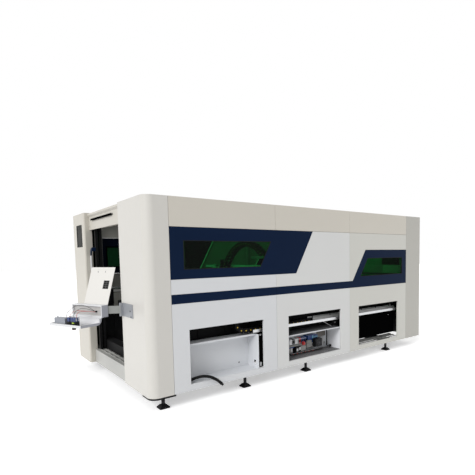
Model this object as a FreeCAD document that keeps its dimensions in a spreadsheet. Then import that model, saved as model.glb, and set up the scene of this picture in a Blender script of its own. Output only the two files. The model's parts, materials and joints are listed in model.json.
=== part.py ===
import FreeCAD, Part
import math
import os
import Sketcher
from FreeCAD import Placement, Rotation, Vector

# Fiber laser cutting machine: a sheet metal enclosure with tinted windows round a
# welded bed, a gantry with its cutting head, a slat table, two sliding door leaves
# and an operator console on a swinging arm.
#
# Millimetres, +Z up. The driving sizes are measured from the enclosure's front left
# bottom corner: +X along the long front, +Y to the back, +Z up from the panels'
# bottom edge. Every sub-part's Placement then moves it into the part's own frame,
# which has its origin on the floor under the middle of the machine.

os.makedirs("parts", exist_ok=True)
doc = FreeCAD.newDocument("fiber_laser_cutting_machine")
sheet = doc.addObject("Spreadsheet::Sheet", "Sheet")


# ---------------------------------------------------------------- sizes and helpers

class Size:
    """A length or angle that knows its value and the cells that it is worked out from."""

    def __init__(self, value, text):
        self.value = value
        self.text = text

    def __float__(self):
        return float(self.value)

    def __add__(self, other):
        other = as_size(other)
        return Size(self.value + other.value, f"({self.text} + {other.text})")

    def __sub__(self, other):
        other = as_size(other)
        return Size(self.value - other.value, f"({self.text} - {other.text})")

    def __mul__(self, other):
        other = as_size(other)
        return Size(self.value * other.value, f"({self.text} * {other.text})")

    def __truediv__(self, other):
        other = as_size(other)
        return Size(self.value / other.value, f"({self.text} / {other.text})")

    def __neg__(self):
        return Size(-self.value, f"(0 - {self.text})")

    __radd__ = __add__
    __rmul__ = __mul__

    def __rsub__(self, other):
        return as_size(other) - self


def as_size(number):
    return number if isinstance(number, Size) else Size(float(number), repr(float(number)))


rows = 0


def cell(alias, number, note):
    """One driving dimension: a row of the sheet with its name, its number and what it is."""
    global rows
    rows += 1
    sheet.set(f"A{rows}", alias)
    sheet.set(f"B{rows}", str(number))
    sheet.set(f"C{rows}", note)
    sheet.setAlias(f"B{rows}", alias)
    return Size(float(number), f"Sheet.{alias}")


def bind(thing, prop, size):
    """Binds a property to the sheet."""
    thing.setExpression(prop, as_size(size).text)


def move(thing, at):
    for axis, size in zip("xyz", at):
        bind(thing, f"Placement.Base.{axis}", size)
    return thing


def block(name, low, high):
    """A rectangular block between two corners."""
    made = doc.addObject("Part::Box", name)
    for side, a, b in zip(("Length", "Width", "Height"), low, high):
        bind(made, side, as_size(b) - a)
    starts[made.Name] = low
    return move(made, low)


# where a block that is a sub-part by itself stands before it is seated
starts = {}

TURN_TO = {
    "+Z": Rotation(),
    "-Z": Rotation(Vector(1, 0, 0), 180),
    "+X": Rotation(Vector(0, 1, 0), 90),
    "-X": Rotation(Vector(0, 1, 0), -90),
    "+Y": Rotation(Vector(1, 0, 0), -90),
    "-Y": Rotation(Vector(1, 0, 0), 90),
}


def rod(name, start, radius, length, along="+Z", top_radius=None):
    """A round bar, or a cone where top_radius is given, from start along an axis."""
    made = doc.addObject("Part::Cylinder" if top_radius is None else "Part::Cone", name)
    made.Placement = Placement(Vector(), TURN_TO[along])
    if top_radius is None:
        bind(made, "Radius", radius)
    else:
        bind(made, "Radius1", radius)
        bind(made, "Radius2", top_radius)
    bind(made, "Height", length)
    return move(made, start)


def pyramid(name, start, half, top_half, high):
    """A square block that narrows upwards, from the middle of its underside."""
    made = doc.addObject("Part::Wedge", name)
    made.Placement = Placement(Vector(), Rotation(Vector(1, 0, 0), 90))
    for prop in ("X", "Z"):
        bind(made, f"{prop}min", -half)
        bind(made, f"{prop}max", half)
        bind(made, f"{prop}2min", -top_half)
        bind(made, f"{prop}2max", top_half)
    bind(made, "Ymin", 0)
    bind(made, "Ymax", high)
    return move(made, start)


def joined(name, parts):
    """Several solids of one piece fused, or like pieces kept in one node."""
    made = doc.addObject("Part::MultiFuse", name)
    made.Shapes = parts
    made.Refine = True
    return made


def cut(name, base, tools):
    """base less the tools."""
    made = doc.addObject("Part::Cut", name)
    made.Base = base
    made.Tool = tools[0] if len(tools) == 1 else joined(f"{name}_tools", tools)
    return made


def plane_of(body, role):
    return next(o for o in body.Origin.OriginFeatures if o.Role == role)


def outline(body, name, role, offset, loops, tilt=None):
    """A sketch of closed loops on one of the body's origin planes, offset along its
    normal. Every corner is held by two distances that are bound to the sheet."""
    sketch = body.newObject("Sketcher::SketchObject", name)
    sketch.AttachmentSupport = [(plane_of(body, role), "")]
    sketch.MapMode = "FlatFace"
    if tilt is not None:
        # leans the sketch back about its own X axis, at the height and depth given
        lean, height, depth = tilt
        sketch.AttachmentOffset = Placement(Vector(), Rotation(Vector(1, 0, 0), 1))
        bind(sketch, "AttachmentOffset.Rotation.Angle", lean)
        bind(sketch, "AttachmentOffset.Base.y", height)
        bind(sketch, "AttachmentOffset.Base.z", depth)
    else:
        bind(sketch, "AttachmentOffset.Base.z", offset)
    first = 0
    for loop in loops:
        corners = [(as_size(a), as_size(b)) for a, b in loop]
        ring = [Vector(float(a), float(b), 0) for a, b in corners]
        count = len(ring)
        sketch.addGeometry([Part.LineSegment(ring[k], ring[(k + 1) % count]) for k in range(count)], False)
        sketch.addConstraint([
            Sketcher.Constraint("Coincident", first + k, 2, first + (k + 1) % count, 1)
            for k in range(count)
        ])
        for k, corner in enumerate(corners):
            for kind, size in zip(("DistanceX", "DistanceY"), corner):
                index = sketch.addConstraint(
                    Sketcher.Constraint(kind, -1, 1, first + k, 1, float(size))
                )
                label = f"{kind}_{first + k}"
                sketch.renameConstraint(index, label)
                sketch.setExpression(f".Constraints.{label}", size.text)
        first += count
    return sketch


# where each plane's pad grows to +X, +Y or +Z: the plane's role, whether the pad is
# reversed, and the sign of an offset along the plane's normal
PLANES = {"x": ("YZ_Plane", False, 1), "y": ("XZ_Plane", True, -1), "z": ("XY_Plane", False, 1)}


def pad(body, name, axis, start, depth, loops, tilt=None):
    role, turned, sign = PLANES[axis]
    sketch = outline(body, f"{name}_outline", role, as_size(start) * sign, loops, tilt)
    made = body.newObject("PartDesign::Pad", name)
    made.Profile = sketch
    made.Reversed = turned
    bind(made, "Length", depth)
    sketch.Visibility = False
    return made


def extruded(name, axis, start, depth, loops, tilt=None):
    """A flat or folded piece made from one profile."""
    body = doc.addObject("PartDesign::Body", name)
    pad(body, f"{name}_pad", axis, start, depth, loops, tilt)
    return body


def fillet(body, radius, test):
    """Rounds the edges of the body's last feature that pass the test."""
    doc.recompute()
    last = body.Tip
    found = [f"Edge{k + 1}" for k, edge in enumerate(last.Shape.Edges) if test(edge)]
    if not found:
        raise ValueError(f"{body.Name}: no edge to round")
    made = body.newObject("PartDesign::Fillet", f"{last.Name}_round")
    made.Base = (last, found)
    bind(made, "Radius", radius)
    return made


def upright_at(x, y):
    """Tests for a vertical edge at a place in plan."""
    def test(edge):
        ends = [v.Point for v in edge.Vertexes]
        return (
            len(ends) == 2
            and abs(ends[0].z - ends[1].z) > 1
            and all(abs(p.x - float(x)) < 0.01 and abs(p.y - float(y)) < 0.01 for p in ends)
        )
    return test


def upright(edge):
    """Tests for any vertical edge."""
    ends = [v.Point for v in edge.Vertexes]
    return len(ends) == 2 and abs(ends[0].z - ends[1].z) > 1 and ends[0].distanceToPoint(
        Vector(ends[1].x, ends[1].y, ends[0].z)) < 0.01


def along_x_at(y, z):
    """Tests for an edge along X at a place in the cross-section."""
    def test(edge):
        ends = [v.Point for v in edge.Vertexes]
        return (
            len(ends) == 2
            and abs(ends[0].x - ends[1].x) > 1
            and all(abs(p.y - float(y)) < 0.01 and abs(p.z - float(z)) < 0.01 for p in ends)
        )
    return test


def tray(name, axis, start, depth, loops, back="high"):
    """A panel of folded sheet: a face with returned edges round its outline and its
    openings, open at the back. back says whether the open side is the higher or the
    lower end of the axis."""
    body = extruded(name, axis, start, depth, loops)
    doc.recompute()
    whole = body.Tip
    normal = {"x": Vector(1, 0, 0), "y": Vector(0, 1, 0), "z": Vector(0, 0, 1)}[axis]
    way = 1 if back == "high" else -1
    level = float(as_size(start) + depth) if back == "high" else float(start)
    found = [
        f"Face{k + 1}" for k, face in enumerate(whole.Shape.Faces)
        if abs(face.CenterOfMass.dot(normal) - level) < 0.01
        and face.normalAt(0, 0).dot(normal) * way > 0.99
    ]
    shell = body.newObject("PartDesign::Thickness", f"{name}_shell")
    shell.Base = (whole, found)
    shell.Reversed = True
    shell.Join = 1
    bind(shell, "Value", skin)
    return body


def solids(name, shape):
    """A piece whose shape is worked out from the sheet's values."""
    made = doc.addObject("Part::Feature", name)
    made.Shape = shape
    return made


nodes = []


def seat(label, thing):
    """Puts a finished sub-part in the part's frame and gives it its name."""
    start = starts.get(thing.Name, (0, 0, 0))
    move(thing, [side + a for side, a in zip((left, front, base), start)])
    thing.Label = label
    nodes.append(thing)
    return thing


def seat_on_console(label, thing):
    """Seats a console sub-part, which is modelled with +X along the console's width
    from its right end, +Y to the operator and +Z up."""
    bind(thing, "Placement.Rotation.Angle", console_yaw)
    move(thing, (left + console_x, front + console_y, base))
    thing.Label = label
    nodes.append(thing)
    return thing


# ---------------------------------------------------------------- driving dimensions

left = cell("left", -2039.1, "x of the enclosure's left end in the part's frame")
front = cell("front", -1265.0, "y of the front panels' face in the part's frame")
base = cell("base", 140, "height of the panels' bottom edge over the floor")

length = cell("length", 4730, "enclosure, left to right")
width = cell("width", 2530, "enclosure, front to back")
height = cell("height", 2000, "enclosure panels, bottom edge to top edge")
skin = cell("skin", 3, "folded sheet")
fold = cell("fold", 25, "depth of a panel's returned edges")
seam = cell("seam", 3, "gap between panels")

corner_run = cell("corner_run", 250, "front left column, along the front")
corner_round = cell("corner_round", 95, "radius of the front left column")
door_side = cell("door_side", 739, "front left column, along the left end")
seam_one = cell("seam_one", 1604, "first front seam")
seam_two = cell("seam_two", 2948, "second front seam")
seam_three = cell("seam_three", 4331, "seam of the right column")
fascia_bottom = cell("fascia_bottom", 1700, "bottom of the row of fascias")

navy_proud = cell("navy_proud", 1, "how far the dark plates stand proud of the white ones")
window_bottom = cell("window_bottom", 1171, "dark window plate, bottom edge")
window_foot = cell("window_foot", 1928, "dark window plate, foot of its slanted end")
window_tip = cell("window_tip", 2223.5, "dark window plate, top of its slanted end")
glass_left = cell("glass_left", 397, "left window, left edge")
glass_foot = cell("glass_foot", 1372, "left window, foot of its slanted end")
glass_tip = cell("glass_tip", 1535, "left window, top of its slanted end")
glass_bottom = cell("glass_bottom", 1268, "left window, bottom edge")
glass_top = cell("glass_top", 1565, "left window, top edge")
belt_bottom = cell("belt_bottom", 922, "dark belt, bottom edge")
belt_top = cell("belt_top", 1019, "dark belt, top edge")
plate_left = cell("plate_left", 3013, "right window plate, left edge over the belt")
plate_tip = cell("plate_tip", 3298, "right window plate, top of its slanted end")
plate_top = cell("plate_top", 1460, "right window plate, top edge")
pane_foot = cell("pane_foot", 3175, "right window, foot of its slanted end")
pane_tip = cell("pane_tip", 3345, "right window, top of its slanted end")
pane_right = cell("pane_right", 4217, "right window, right edge")
pane_bottom = cell("pane_bottom", 1076, "right window, bottom edge")
pane_top = cell("pane_top", 1341, "right window, top edge")
glass_thick = cell("glass_thick", 5, "tinted window pane")
glass_lap = cell("glass_lap", 12, "how far a pane laps behind its plate")

bay_bottom = cell("bay_bottom", 67.5, "service bays, bottom edge")
bay_top = cell("bay_top", 643, "service bays, top edge")
bay_one_left = cell("bay_one_left", 437, "first service bay, left edge")
bay_one_right = cell("bay_one_right", 1402, "first service bay, right edge")
bay_two_left = cell("bay_two_left", 1791, "second service bay, left edge")
bay_two_right = cell("bay_two_right", 2758, "second service bay, right edge")
bay_three_left = cell("bay_three_left", 3142, "third service bay, left edge")
bay_three_right = cell("bay_three_right", 4112, "third service bay, right edge")

door_recess = cell("door_recess", 20, "lintel and sill, set back from the left end")
door_back = cell("door_back", 1966, "doorway, far side")
door_bottom = cell("door_bottom", 175, "doorway, sill height")
door_top = cell("door_top", 1773, "doorway, lintel height")
cabinet_proud = cell("cabinet_proud", 48, "far left column, proud of the left end")
slot_front = cell("slot_front", 972, "lintel slot, near end")
slot_back = cell("slot_back", 1813, "lintel slot, far end")
slot_height = cell("slot_height", 1898, "lintel slot, centre height")

foot_half = cell("foot_half", 55, "levelling foot, half the side of its pad")
stem_radius = cell("stem_radius", 17.5, "levelling foot, stem")
foot_inset = cell("foot_inset", 105, "levelling feet, set back from the front and the back")
foot_one = cell("foot_one", 168, "first pair of feet")
foot_two = cell("foot_two", 1186, "second pair of feet")
foot_three = cell("foot_three", 2171, "third pair of feet")
foot_four = cell("foot_four", 3930, "fourth pair of feet")
foot_back = cell("foot_back", 250, "back foot at the left end")
foot_plate = cell("foot_plate", 60, "height of the cross members")

bed_left = cell("bed_left", 150, "bed, left end")
bed_right = cell("bed_right", 4580, "bed, right end")
bed_front = cell("bed_front", 310, "front side beam, outer face")
bed_thick = cell("bed_thick", 120, "side beam, thickness")
bed_top = cell("bed_top", 960, "side beams, top face")
bed_wall = cell("bed_wall", 10, "side beam, plate")
post_side = cell("post_side", 60, "enclosure frame, tube")
post_deep = cell("post_deep", 32, "enclosure frame, depth of the posts")

rail_wide = cell("rail_wide", 34, "linear guide, width")
rail_high = cell("rail_high", 30, "linear guide, height")
fit_gap = cell("fit_gap", 0.5, "gap between a guide and its block")
gantry_x = cell("gantry_x", 2000, "gantry, middle")
gantry_half = cell("gantry_half", 100, "gantry beam, half its width")
gantry_bottom = cell("gantry_bottom", 1062, "gantry beam, bottom face")
gantry_top = cell("gantry_top", 1262, "gantry beam, top face")
head_y = cell("head_y", 1665, "cutting head, distance from the front")
slat_top = cell("slat_top", 860, "slat table, top of the slats")
slat_front = cell("slat_front", 520, "slats, near end")
slat_pitch = cell("slat_pitch", 160, "slats, spacing")
slat_first = cell("slat_first", 420, "first slat")
slat_count = cell("slat_count", 25, "number of slats")
tooth_count = cell("tooth_count", 12, "points on a slat")

chain_pitch = cell("chain_pitch", 60, "energy chain, link pitch")
chain_low = cell("chain_low", 522, "long energy chain, centre of its lower run")
chain_bend = cell("chain_bend", 100, "long energy chain, bend radius")
chain_fixed = cell("chain_fixed", 2250, "long energy chain, fixed end")
chain_turn = cell("chain_turn", 1180, "long energy chain, start of its bend")
tray_level = cell("tray_level", 490, "long energy chain's tray, underside")

console_x = cell("console_x", -219.4, "console, lower front right corner")
console_y = cell("console_y", 718.2, "console, lower front right corner")
console_yaw = cell("console_yaw", 112, "console's width axis, degrees from +X")
console_wide = cell("console_wide", 500, "console box, width")
console_deep = cell("console_deep", 81, "console box, depth")
console_bottom = cell("console_bottom", 765, "console box, underside")
console_top = cell("console_top", 894, "console box, top")
screen_wide = cell("screen_wide", 394, "upright console plate, width")
screen_tall = cell("screen_tall", 420, "upright console plate, height along its slope")
screen_lean = cell("screen_lean", 17, "upright console plate, lean in degrees")
cover_wide = cell("cover_wide", 520, "console's button cover, width")
cover_deep = cell("cover_deep", 257, "console's button cover, reach to the operator")
cover_floor = cell("cover_floor", 688, "console's button cover, underside when open")
cover_rim = cell("cover_rim", 27, "console's button cover, height of its rim")
cover_round = cell("cover_round", 60, "console's button cover, radius of its bend")
arm_x = cell("arm_x", -30, "console arm's hinge pin")
arm_y = cell("arm_y", 690, "console arm's hinge pin")

half_seam = seam / 2
doc.recompute()


def between(a, b):
    """The two ends of a panel between two seams."""
    return a + half_seam, b - half_seam


def rectangle(a, b, c, d):
    """A loop from a to b and from c to d."""
    return [(a, c), (b, c), (b, d), (a, d)]


# ---------------------------------------------------------------- enclosure, front

# the front left column is one sheet, rolled to a large radius at the corner
body = extruded("corner_sheet", "z", 0, height, [[
    (0, 0), (corner_run - half_seam, 0), (corner_run - half_seam, fold),
    (corner_run - half_seam - skin, fold), (corner_run - half_seam - skin, skin),
    (skin, skin), (skin, door_side - skin), (fold * 2, door_side - skin),
    (fold * 2, door_side), (0, door_side),
]])
fillet(body, corner_round, upright_at(0, 0))
fillet(body, corner_round - skin, upright_at(skin, skin))
seat("front_corner_column", body)

x0, x1 = between(corner_run, seam_one)
panel_top = window_bottom - half_seam
bay = rectangle(bay_one_left, bay_one_right, bay_bottom, bay_top)
seat("front_panel_left", tray("left_sheet", "y", 0, fold, [rectangle(x0, x1, 0, panel_top), bay]))

x0, x1 = between(seam_one, seam_two)
under_fascia = fascia_bottom - half_seam
bay = rectangle(bay_two_left, bay_two_right, bay_bottom, bay_top)
middle_outline = [
    (x0, 0), (x1, 0), (x1, under_fascia), (window_tip + seam, under_fascia),
    (window_foot + seam, panel_top), (x0, panel_top),
]
seat("front_panel_middle", tray("middle_sheet", "y", 0, fold, [middle_outline, bay]))

x0, x1 = between(seam_two, seam_three)
bay = rectangle(bay_three_left, bay_three_right, bay_bottom, bay_top)
right_outline = [
    (x0, 0), (x1, 0), (x1, belt_bottom - half_seam), (plate_left - seam, belt_bottom - half_seam),
    (plate_left - seam, belt_top), (plate_tip - seam, plate_top + half_seam),
    (x1, plate_top + half_seam), (x1, under_fascia), (x0, under_fascia),
]
seat("front_panel_right", tray("right_sheet", "y", 0, fold, [right_outline, bay]))

bounds = [between(corner_run, seam_one), between(seam_one, seam_two), between(seam_two, seam_three)]


def fascias(name, start, back):
    made = []
    for k, (a, b) in enumerate(bounds):
        loop = rectangle(a, b, fascia_bottom + half_seam, height)
        made.append(tray(f"{name}_{k + 1}", "y", start, fold, [loop], back))
    return joined(name, made)


seat("front_fascias", fascias("front_fascia_row", 0, "high"))

# dark plates with the windows, and the dark belt that runs into the right plate
window_plate = [
    (corner_run + half_seam, window_bottom), (window_foot, window_bottom),
    (window_tip, fascia_bottom), (corner_run + half_seam, fascia_bottom),
]
window_hole = [
    (glass_left, glass_bottom), (glass_foot, glass_bottom),
    (glass_tip, glass_top), (glass_left, glass_top),
]
right_plate = [
    (plate_left, belt_bottom), (seam_three - half_seam, belt_bottom),
    (seam_three - half_seam, plate_top), (plate_tip, plate_top), (plate_left, belt_top),
]
right_hole = [
    (pane_foot, pane_bottom), (pane_right, pane_bottom),
    (pane_right, pane_top), (pane_tip, pane_top),
]
plate_thick = skin + navy_proud
seat("window_frame_left", extruded(
    "left_window_plate", "y", -navy_proud, plate_thick, [window_plate, window_hole]))
seat("window_frame_right", extruded(
    "right_window_plate", "y", -navy_proud, plate_thick, [right_plate, right_hole]))

belt = []
for k, (a, b) in enumerate([bounds[0], bounds[1], (seam_two + half_seam, plate_left)]):
    belt.append(block(f"belt_{k + 1}", (a, -navy_proud, belt_bottom), (b, 0, belt_top)))
seat("belt_stripes", joined("belt", belt))


def lapped(loop, by):
    """A window's loop grown by the lap of its pane, which slants less at the ends."""
    (a, c), (b, _), (e, d), (g, _) = loop
    return [(as_size(a) - by, c - by), (b + by, c - by), (e + by, d + by), (g - by, d + by)]


panes = [
    extruded("left_pane", "y", skin, glass_thick, [lapped(window_hole, glass_lap)]),
    extruded("right_pane", "y", skin, glass_thick, [lapped(right_hole, glass_lap)]),
    extruded("left_pane_back", "y", width - skin - glass_thick, glass_thick,
             [lapped(window_hole, glass_lap)]),
    extruded("right_pane_back", "y", width - skin - glass_thick, glass_thick,
             [lapped(right_hole, glass_lap)]),
]

# ---------------------------------------------------------------- enclosure, back and right

back_start = width - fold
loops = [
    [rectangle(*between(corner_run, seam_one), 0, panel_top)],
    [middle_outline],
    [right_outline],
]
back_sheets = [
    tray(f"back_sheet_{k + 1}", "y", back_start, fold, loop, "low") for k, loop in enumerate(loops)
]
seat("back_panels", joined("back_sheets", [
    *back_sheets, fascias("back_fascia_row", back_start, "low")]))
seat("back_window_frames", joined("back_window_plates", [
    extruded("left_plate_back", "y", width - skin, plate_thick, [window_plate, window_hole]),
    extruded("right_plate_back", "y", width - skin, plate_thick, [right_plate, right_hole]),
]))

column_side = cell("column_side", 300, "right columns, along the right end")
x0 = seam_three + half_seam
seat("right_front_column", extruded("right_column", "z", 0, height, [[
    (x0, 0), (length, 0), (length, column_side), (length - fold, column_side),
    (length - fold, column_side - skin), (length - skin, column_side - skin),
    (length - skin, skin), (x0 + skin, skin), (x0 + skin, fold), (x0, fold),
]]))
far = width
back_column = extruded("right_back_column", "z", 0, height, [[
    (x0, far), (x0, far - fold), (x0 + skin, far - fold), (x0 + skin, far - skin),
    (length - skin, far - skin), (length - skin, far - column_side + skin),
    (length - fold, far - column_side + skin), (length - fold, far - column_side),
    (length, far - column_side), (length, far),
]])
end_middle = width / 2
end_sheets = [
    tray("end_sheet_front", "x", length - fold, fold,
         [rectangle(column_side + seam, end_middle - half_seam, 0, height)], "low"),
    tray("end_sheet_back", "x", length - fold, fold,
         [rectangle(end_middle + half_seam, width - column_side - seam, 0, height)], "low"),
]
seat("right_end_panels", joined("right_end", [back_column, *end_sheets]))

# ---------------------------------------------------------------- enclosure, left end

# the far left column is a deep sheet box that the open door leaves slide into
run = corner_run - half_seam
jamb_deep = cell("jamb_deep", 51, "far left column, inner end of the doorway's jamb")
body = extruded("cabinet_sheet", "z", 0, height, [[
    (jamb_deep, door_back), (jamb_deep, door_back + skin),
    (skin - cabinet_proud, door_back + skin), (skin - cabinet_proud, width - skin),
    (run, width - skin), (run, width), (-cabinet_proud, width), (-cabinet_proud, door_back),
]])
cabinet_round = cell("cabinet_round", 22, "far left column, radius of its folds")
fillet(body, cabinet_round, upright_at(-cabinet_proud, door_back))
fillet(body, cabinet_round, upright_at(-cabinet_proud, width))
fillet(body, cabinet_round - skin, upright_at(skin - cabinet_proud, door_back + skin))
fillet(body, cabinet_round - skin, upright_at(skin - cabinet_proud, width - skin))
cabinet_glass_front = cell("cabinet_glass_front", 2070, "far left column's window, near edge")
cabinet_glass_back = cell("cabinet_glass_back", 2350, "far left column's window, far edge")
cabinet_glass_bottom = cell("cabinet_glass_bottom", 1555, "far left column's window, bottom")
cabinet_glass_top = cell("cabinet_glass_top", 1850, "far left column's window, top")
hole = block("cabinet_hole", (-cabinet_proud - 5, cabinet_glass_front, cabinet_glass_bottom),
             (5 - cabinet_proud, cabinet_glass_back, cabinet_glass_top))
seat("cabinet_column", cut("cabinet_cut", body, [hole]))
panes.append(block(
    "cabinet_pane",
    (skin - cabinet_proud, cabinet_glass_front - glass_lap, cabinet_glass_bottom - glass_lap),
    (skin - cabinet_proud + glass_thick, cabinet_glass_back + glass_lap,
     cabinet_glass_top + glass_lap)))
seat("window_glass", joined("panes", panes))

# the lintel: a face with a slot, a rounded lip along its top, and the leaves' top track
near, away = door_side + seam, door_back - seam
slot_half = cell("slot_half", 10.5, "lintel slot, half its height")
lip = cell("lip", 22, "lintel's top lip")
track_in = cell("track_in", 52, "door tracks, outer edge")
track_out = cell("track_out", 153, "door tracks, inner edge")
leaf_bottom = cell("leaf_bottom", 184, "door leaves, bottom edge")
leaf_top = cell("leaf_top", 1815, "door leaves, top edge")
track_bottom = cell("track_bottom", 1795, "door leaves' top track, underside")
lintel_top = cell("lintel_top", 1984, "lintel's top edge, a little under the columns'")
face = cut("lintel_face", block("lintel_plate", (door_recess, near, door_top),
                                (door_recess + skin, away, lintel_top)),
           [block("lintel_slot", (door_recess - 5, slot_front, slot_height - slot_half),
                  (door_recess + 10, slot_back, slot_height + slot_half))])
top_lip = extruded("lintel_lip", "y", near, away - near, [[
    (0, lintel_top - lip), (door_recess, lintel_top - lip * 2),
    (door_recess + skin, lintel_top - lip * 2), (door_recess + skin, lintel_top), (0, lintel_top),
]])
track = cut("top_track", block("top_track_bar", (track_in, near, track_bottom),
                               (track_out, width - 15, track_bottom + 40)),
            [block("top_groove_1", (track_in + 6, near - 1, track_bottom - 5),
                   (track_in + 45, width, track_bottom + 30)),
             block("top_groove_2", (track_out - 45, near - 1, track_bottom - 5),
                   (track_out - 6, width, track_bottom + 30))])
track_hanger = block("track_hanger", (door_recess + skin, near, track_bottom + 40),
                     (track_out, away, track_bottom + 43))
seat("door_lintel", joined("lintel", [face, top_lip, track, track_hanger]))
seat("lintel_strip", block("slot_strip", (door_recess + skin, slot_front - 10, slot_height - 18),
                           (door_recess + skin + 14, slot_back + 10, slot_height + 18)))

# the sill: a folded plate whose top carries the leaves' two raised runners
sill_deep = cell("sill_deep", 148, "door sill, inner edge")
sill = extruded("sill_sheet", "y", near, away - near, [[
    (door_recess, 0), (door_recess + skin, 0), (door_recess + skin, door_bottom - skin),
    (sill_deep - skin, door_bottom - skin), (sill_deep - skin, door_bottom - 45),
    (sill_deep, door_bottom - 45), (sill_deep, door_bottom), (door_recess, door_bottom),
]])
runner_high = cell("runner_high", 6, "door sill's runners, height")
runners = [
    block(f"runner_{k + 1}", (x, near, door_bottom), (x + 12, away, door_bottom + runner_high))
    for k, x in enumerate((track_in + 20, track_out - 32))
]
seat("door_sill", joined("sill", [sill, *runners]))

base_plate = extruded("base_plate_blank", "z", -20, 20, [rectangle(5, 270, 5, 240)])
fillet(base_plate, corner_round - 5, upright_at(5, 5))
seat("corner_base_plate", cut("base_plate_cut", base_plate, [
    rod("base_plate_hole", (foot_one, foot_inset, -30), stem_radius + 3, 40)]))

# ---------------------------------------------------------------- frame, feet and bed

inner = fold + seam
tube_top = height - 4
ties = [corner_run + 40, seam_one, seam_two, seam_three + 40]
posts = []
for k, x in enumerate(ties):
    for side, y in (("front", inner), ("back", width - inner - post_deep)):
        posts.append(block(f"post_{side}_{k}", (x - post_side / 2, y, foot_plate),
                           (x + post_side / 2, y + post_deep, tube_top - post_side)))
    posts.append(block(f"tie_{k}", (x - post_side / 2, inner + post_side, tube_top - post_side),
                       (x + post_side / 2, width - inner - post_side, tube_top)))
for side, y in (("front", inner), ("back", width - inner - post_side)):
    posts.append(block(f"top_rail_{side}", (120, y, tube_top - post_side),
                       (length - 30, y + post_side, tube_top)))
seat("top_frame", joined("frame_tubes", posts))

members = [
    block(f"member_{k}", (x - 50, inner, 0), (x + 50, width - inner, foot_plate))
    for k, x in enumerate((foot_one, foot_two, foot_three, foot_four))
]
# the first member has a spur over the back foot, which stands clear of the doorway
members.append(block("member_spur", (foot_one + 50, width - inner - 160, 0),
                     (foot_back + 50, width - inner, foot_plate)))
bed_back = width - bed_front
for k, x in enumerate((bed_left, bed_right - bed_thick)):
    members.append(block(f"bed_end_{k}", (x, bed_front + bed_thick, foot_plate),
                         (x + bed_thick, bed_back - bed_thick, foot_plate + 240)))
strip_top = bay_bottom - 6
for k, y in enumerate((70, 130, 190)):
    members.append(block(f"bay_strip_{k}", (bay_three_left - 90, y, foot_plate),
                         (bay_three_right + 90, y + 40, strip_top + k * 8)))
seat("bed_cross_members", joined("cross_members", members))

beams = []
for name, y in (("front", bed_front), ("back", bed_back - bed_thick)):
    beams.append(cut(f"bed_side_{name}", block(f"bed_beam_{name}", (bed_left, y, foot_plate),
                                               (bed_right, y + bed_thick, bed_top)),
                     [block(f"bed_hollow_{name}",
                            (bed_left - 1, y + bed_wall, foot_plate + bed_wall),
                            (bed_right + 1, y + bed_thick - bed_wall, bed_top - bed_wall))]))
seat("bed_sides", joined("side_beams", beams))

# a foot: a square pad with a sloped top, and a threaded stem
feet = []
foot_round = cell("foot_round", 14, "levelling foot, radius of the pad's corners")
foot_places = [(x, foot_inset) for x in (foot_one, foot_two, foot_three, foot_four)]
foot_places += [(x, width - foot_inset) for x in (foot_back, foot_two, foot_three, foot_four)]
for k, (x, y) in enumerate(foot_places):
    pad_plate = extruded(f"foot_pad_{k}", "z", -base, 10, [
        rectangle(x - foot_half, x + foot_half, y - foot_half, y + foot_half)])
    fillet(pad_plate, foot_round, upright)
    feet.append(joined(f"foot_{k}", [
        pad_plate,
        pyramid(f"foot_slope_{k}", (x, y, 10 - base), foot_half - 5, stem_radius + 9, 26),
        rod(f"foot_stem_{k}", (x, y, 36 - base), stem_radius, base - 36),
    ]))
seat("levelling_feet", joined("feet", feet))

# ---------------------------------------------------------------- guides, slat table

rail_y = [bed_front + bed_thick / 2, bed_back - bed_thick / 2]
guides = []
for k, y in enumerate(rail_y):
    way = 1 - 2 * k
    guides.append(block(f"guide_{k}", (bed_left + 50, y - rail_wide / 2, bed_top),
                        (bed_right - 50, y + rail_wide / 2, bed_top + rail_high)))
    rack = y + way * 46
    guides.append(block(f"rack_{k}", (bed_left + 50, rack - 10, bed_top),
                        (bed_right - 50, rack + 10, bed_top + 24)))
seat("x_guideways", joined("guideways", guides))

# slats with a row of points along the top, held upright in the two notched combs
slat_back = width - slat_front
tooth = (slat_back - slat_front) / tooth_count
slat_deep = cell("slat_deep", 80, "slats, height")
slat_thick = cell("slat_thick", 4, "slats, plate")
point_high = cell("point_high", 35, "slats, height of the points")
slat_loop = [(slat_front, slat_top - slat_deep), (slat_back, slat_top - slat_deep)]
for k in range(int(float(tooth_count)), 0, -1):
    slat_loop.append((slat_front + tooth * k, slat_top - point_high))
    slat_loop.append((slat_front + tooth * (k - 0.5), slat_top))
slat_loop.append((slat_front, slat_top - point_high))
body = extruded("slat_row", "x", slat_first, slat_thick, [slat_loop])
doc.recompute()
pattern = body.newObject("PartDesign::LinearPattern", "slat_pattern")
pattern.Originals = [body.Tip]
pattern.Direction = (plane_of(body, "X_Axis"), [""])
bind(pattern, "Length", slat_pitch * (slat_count - 1))
bind(pattern, "Occurrences", slat_count)
body.Tip = pattern
seat("slats", body)

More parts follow.
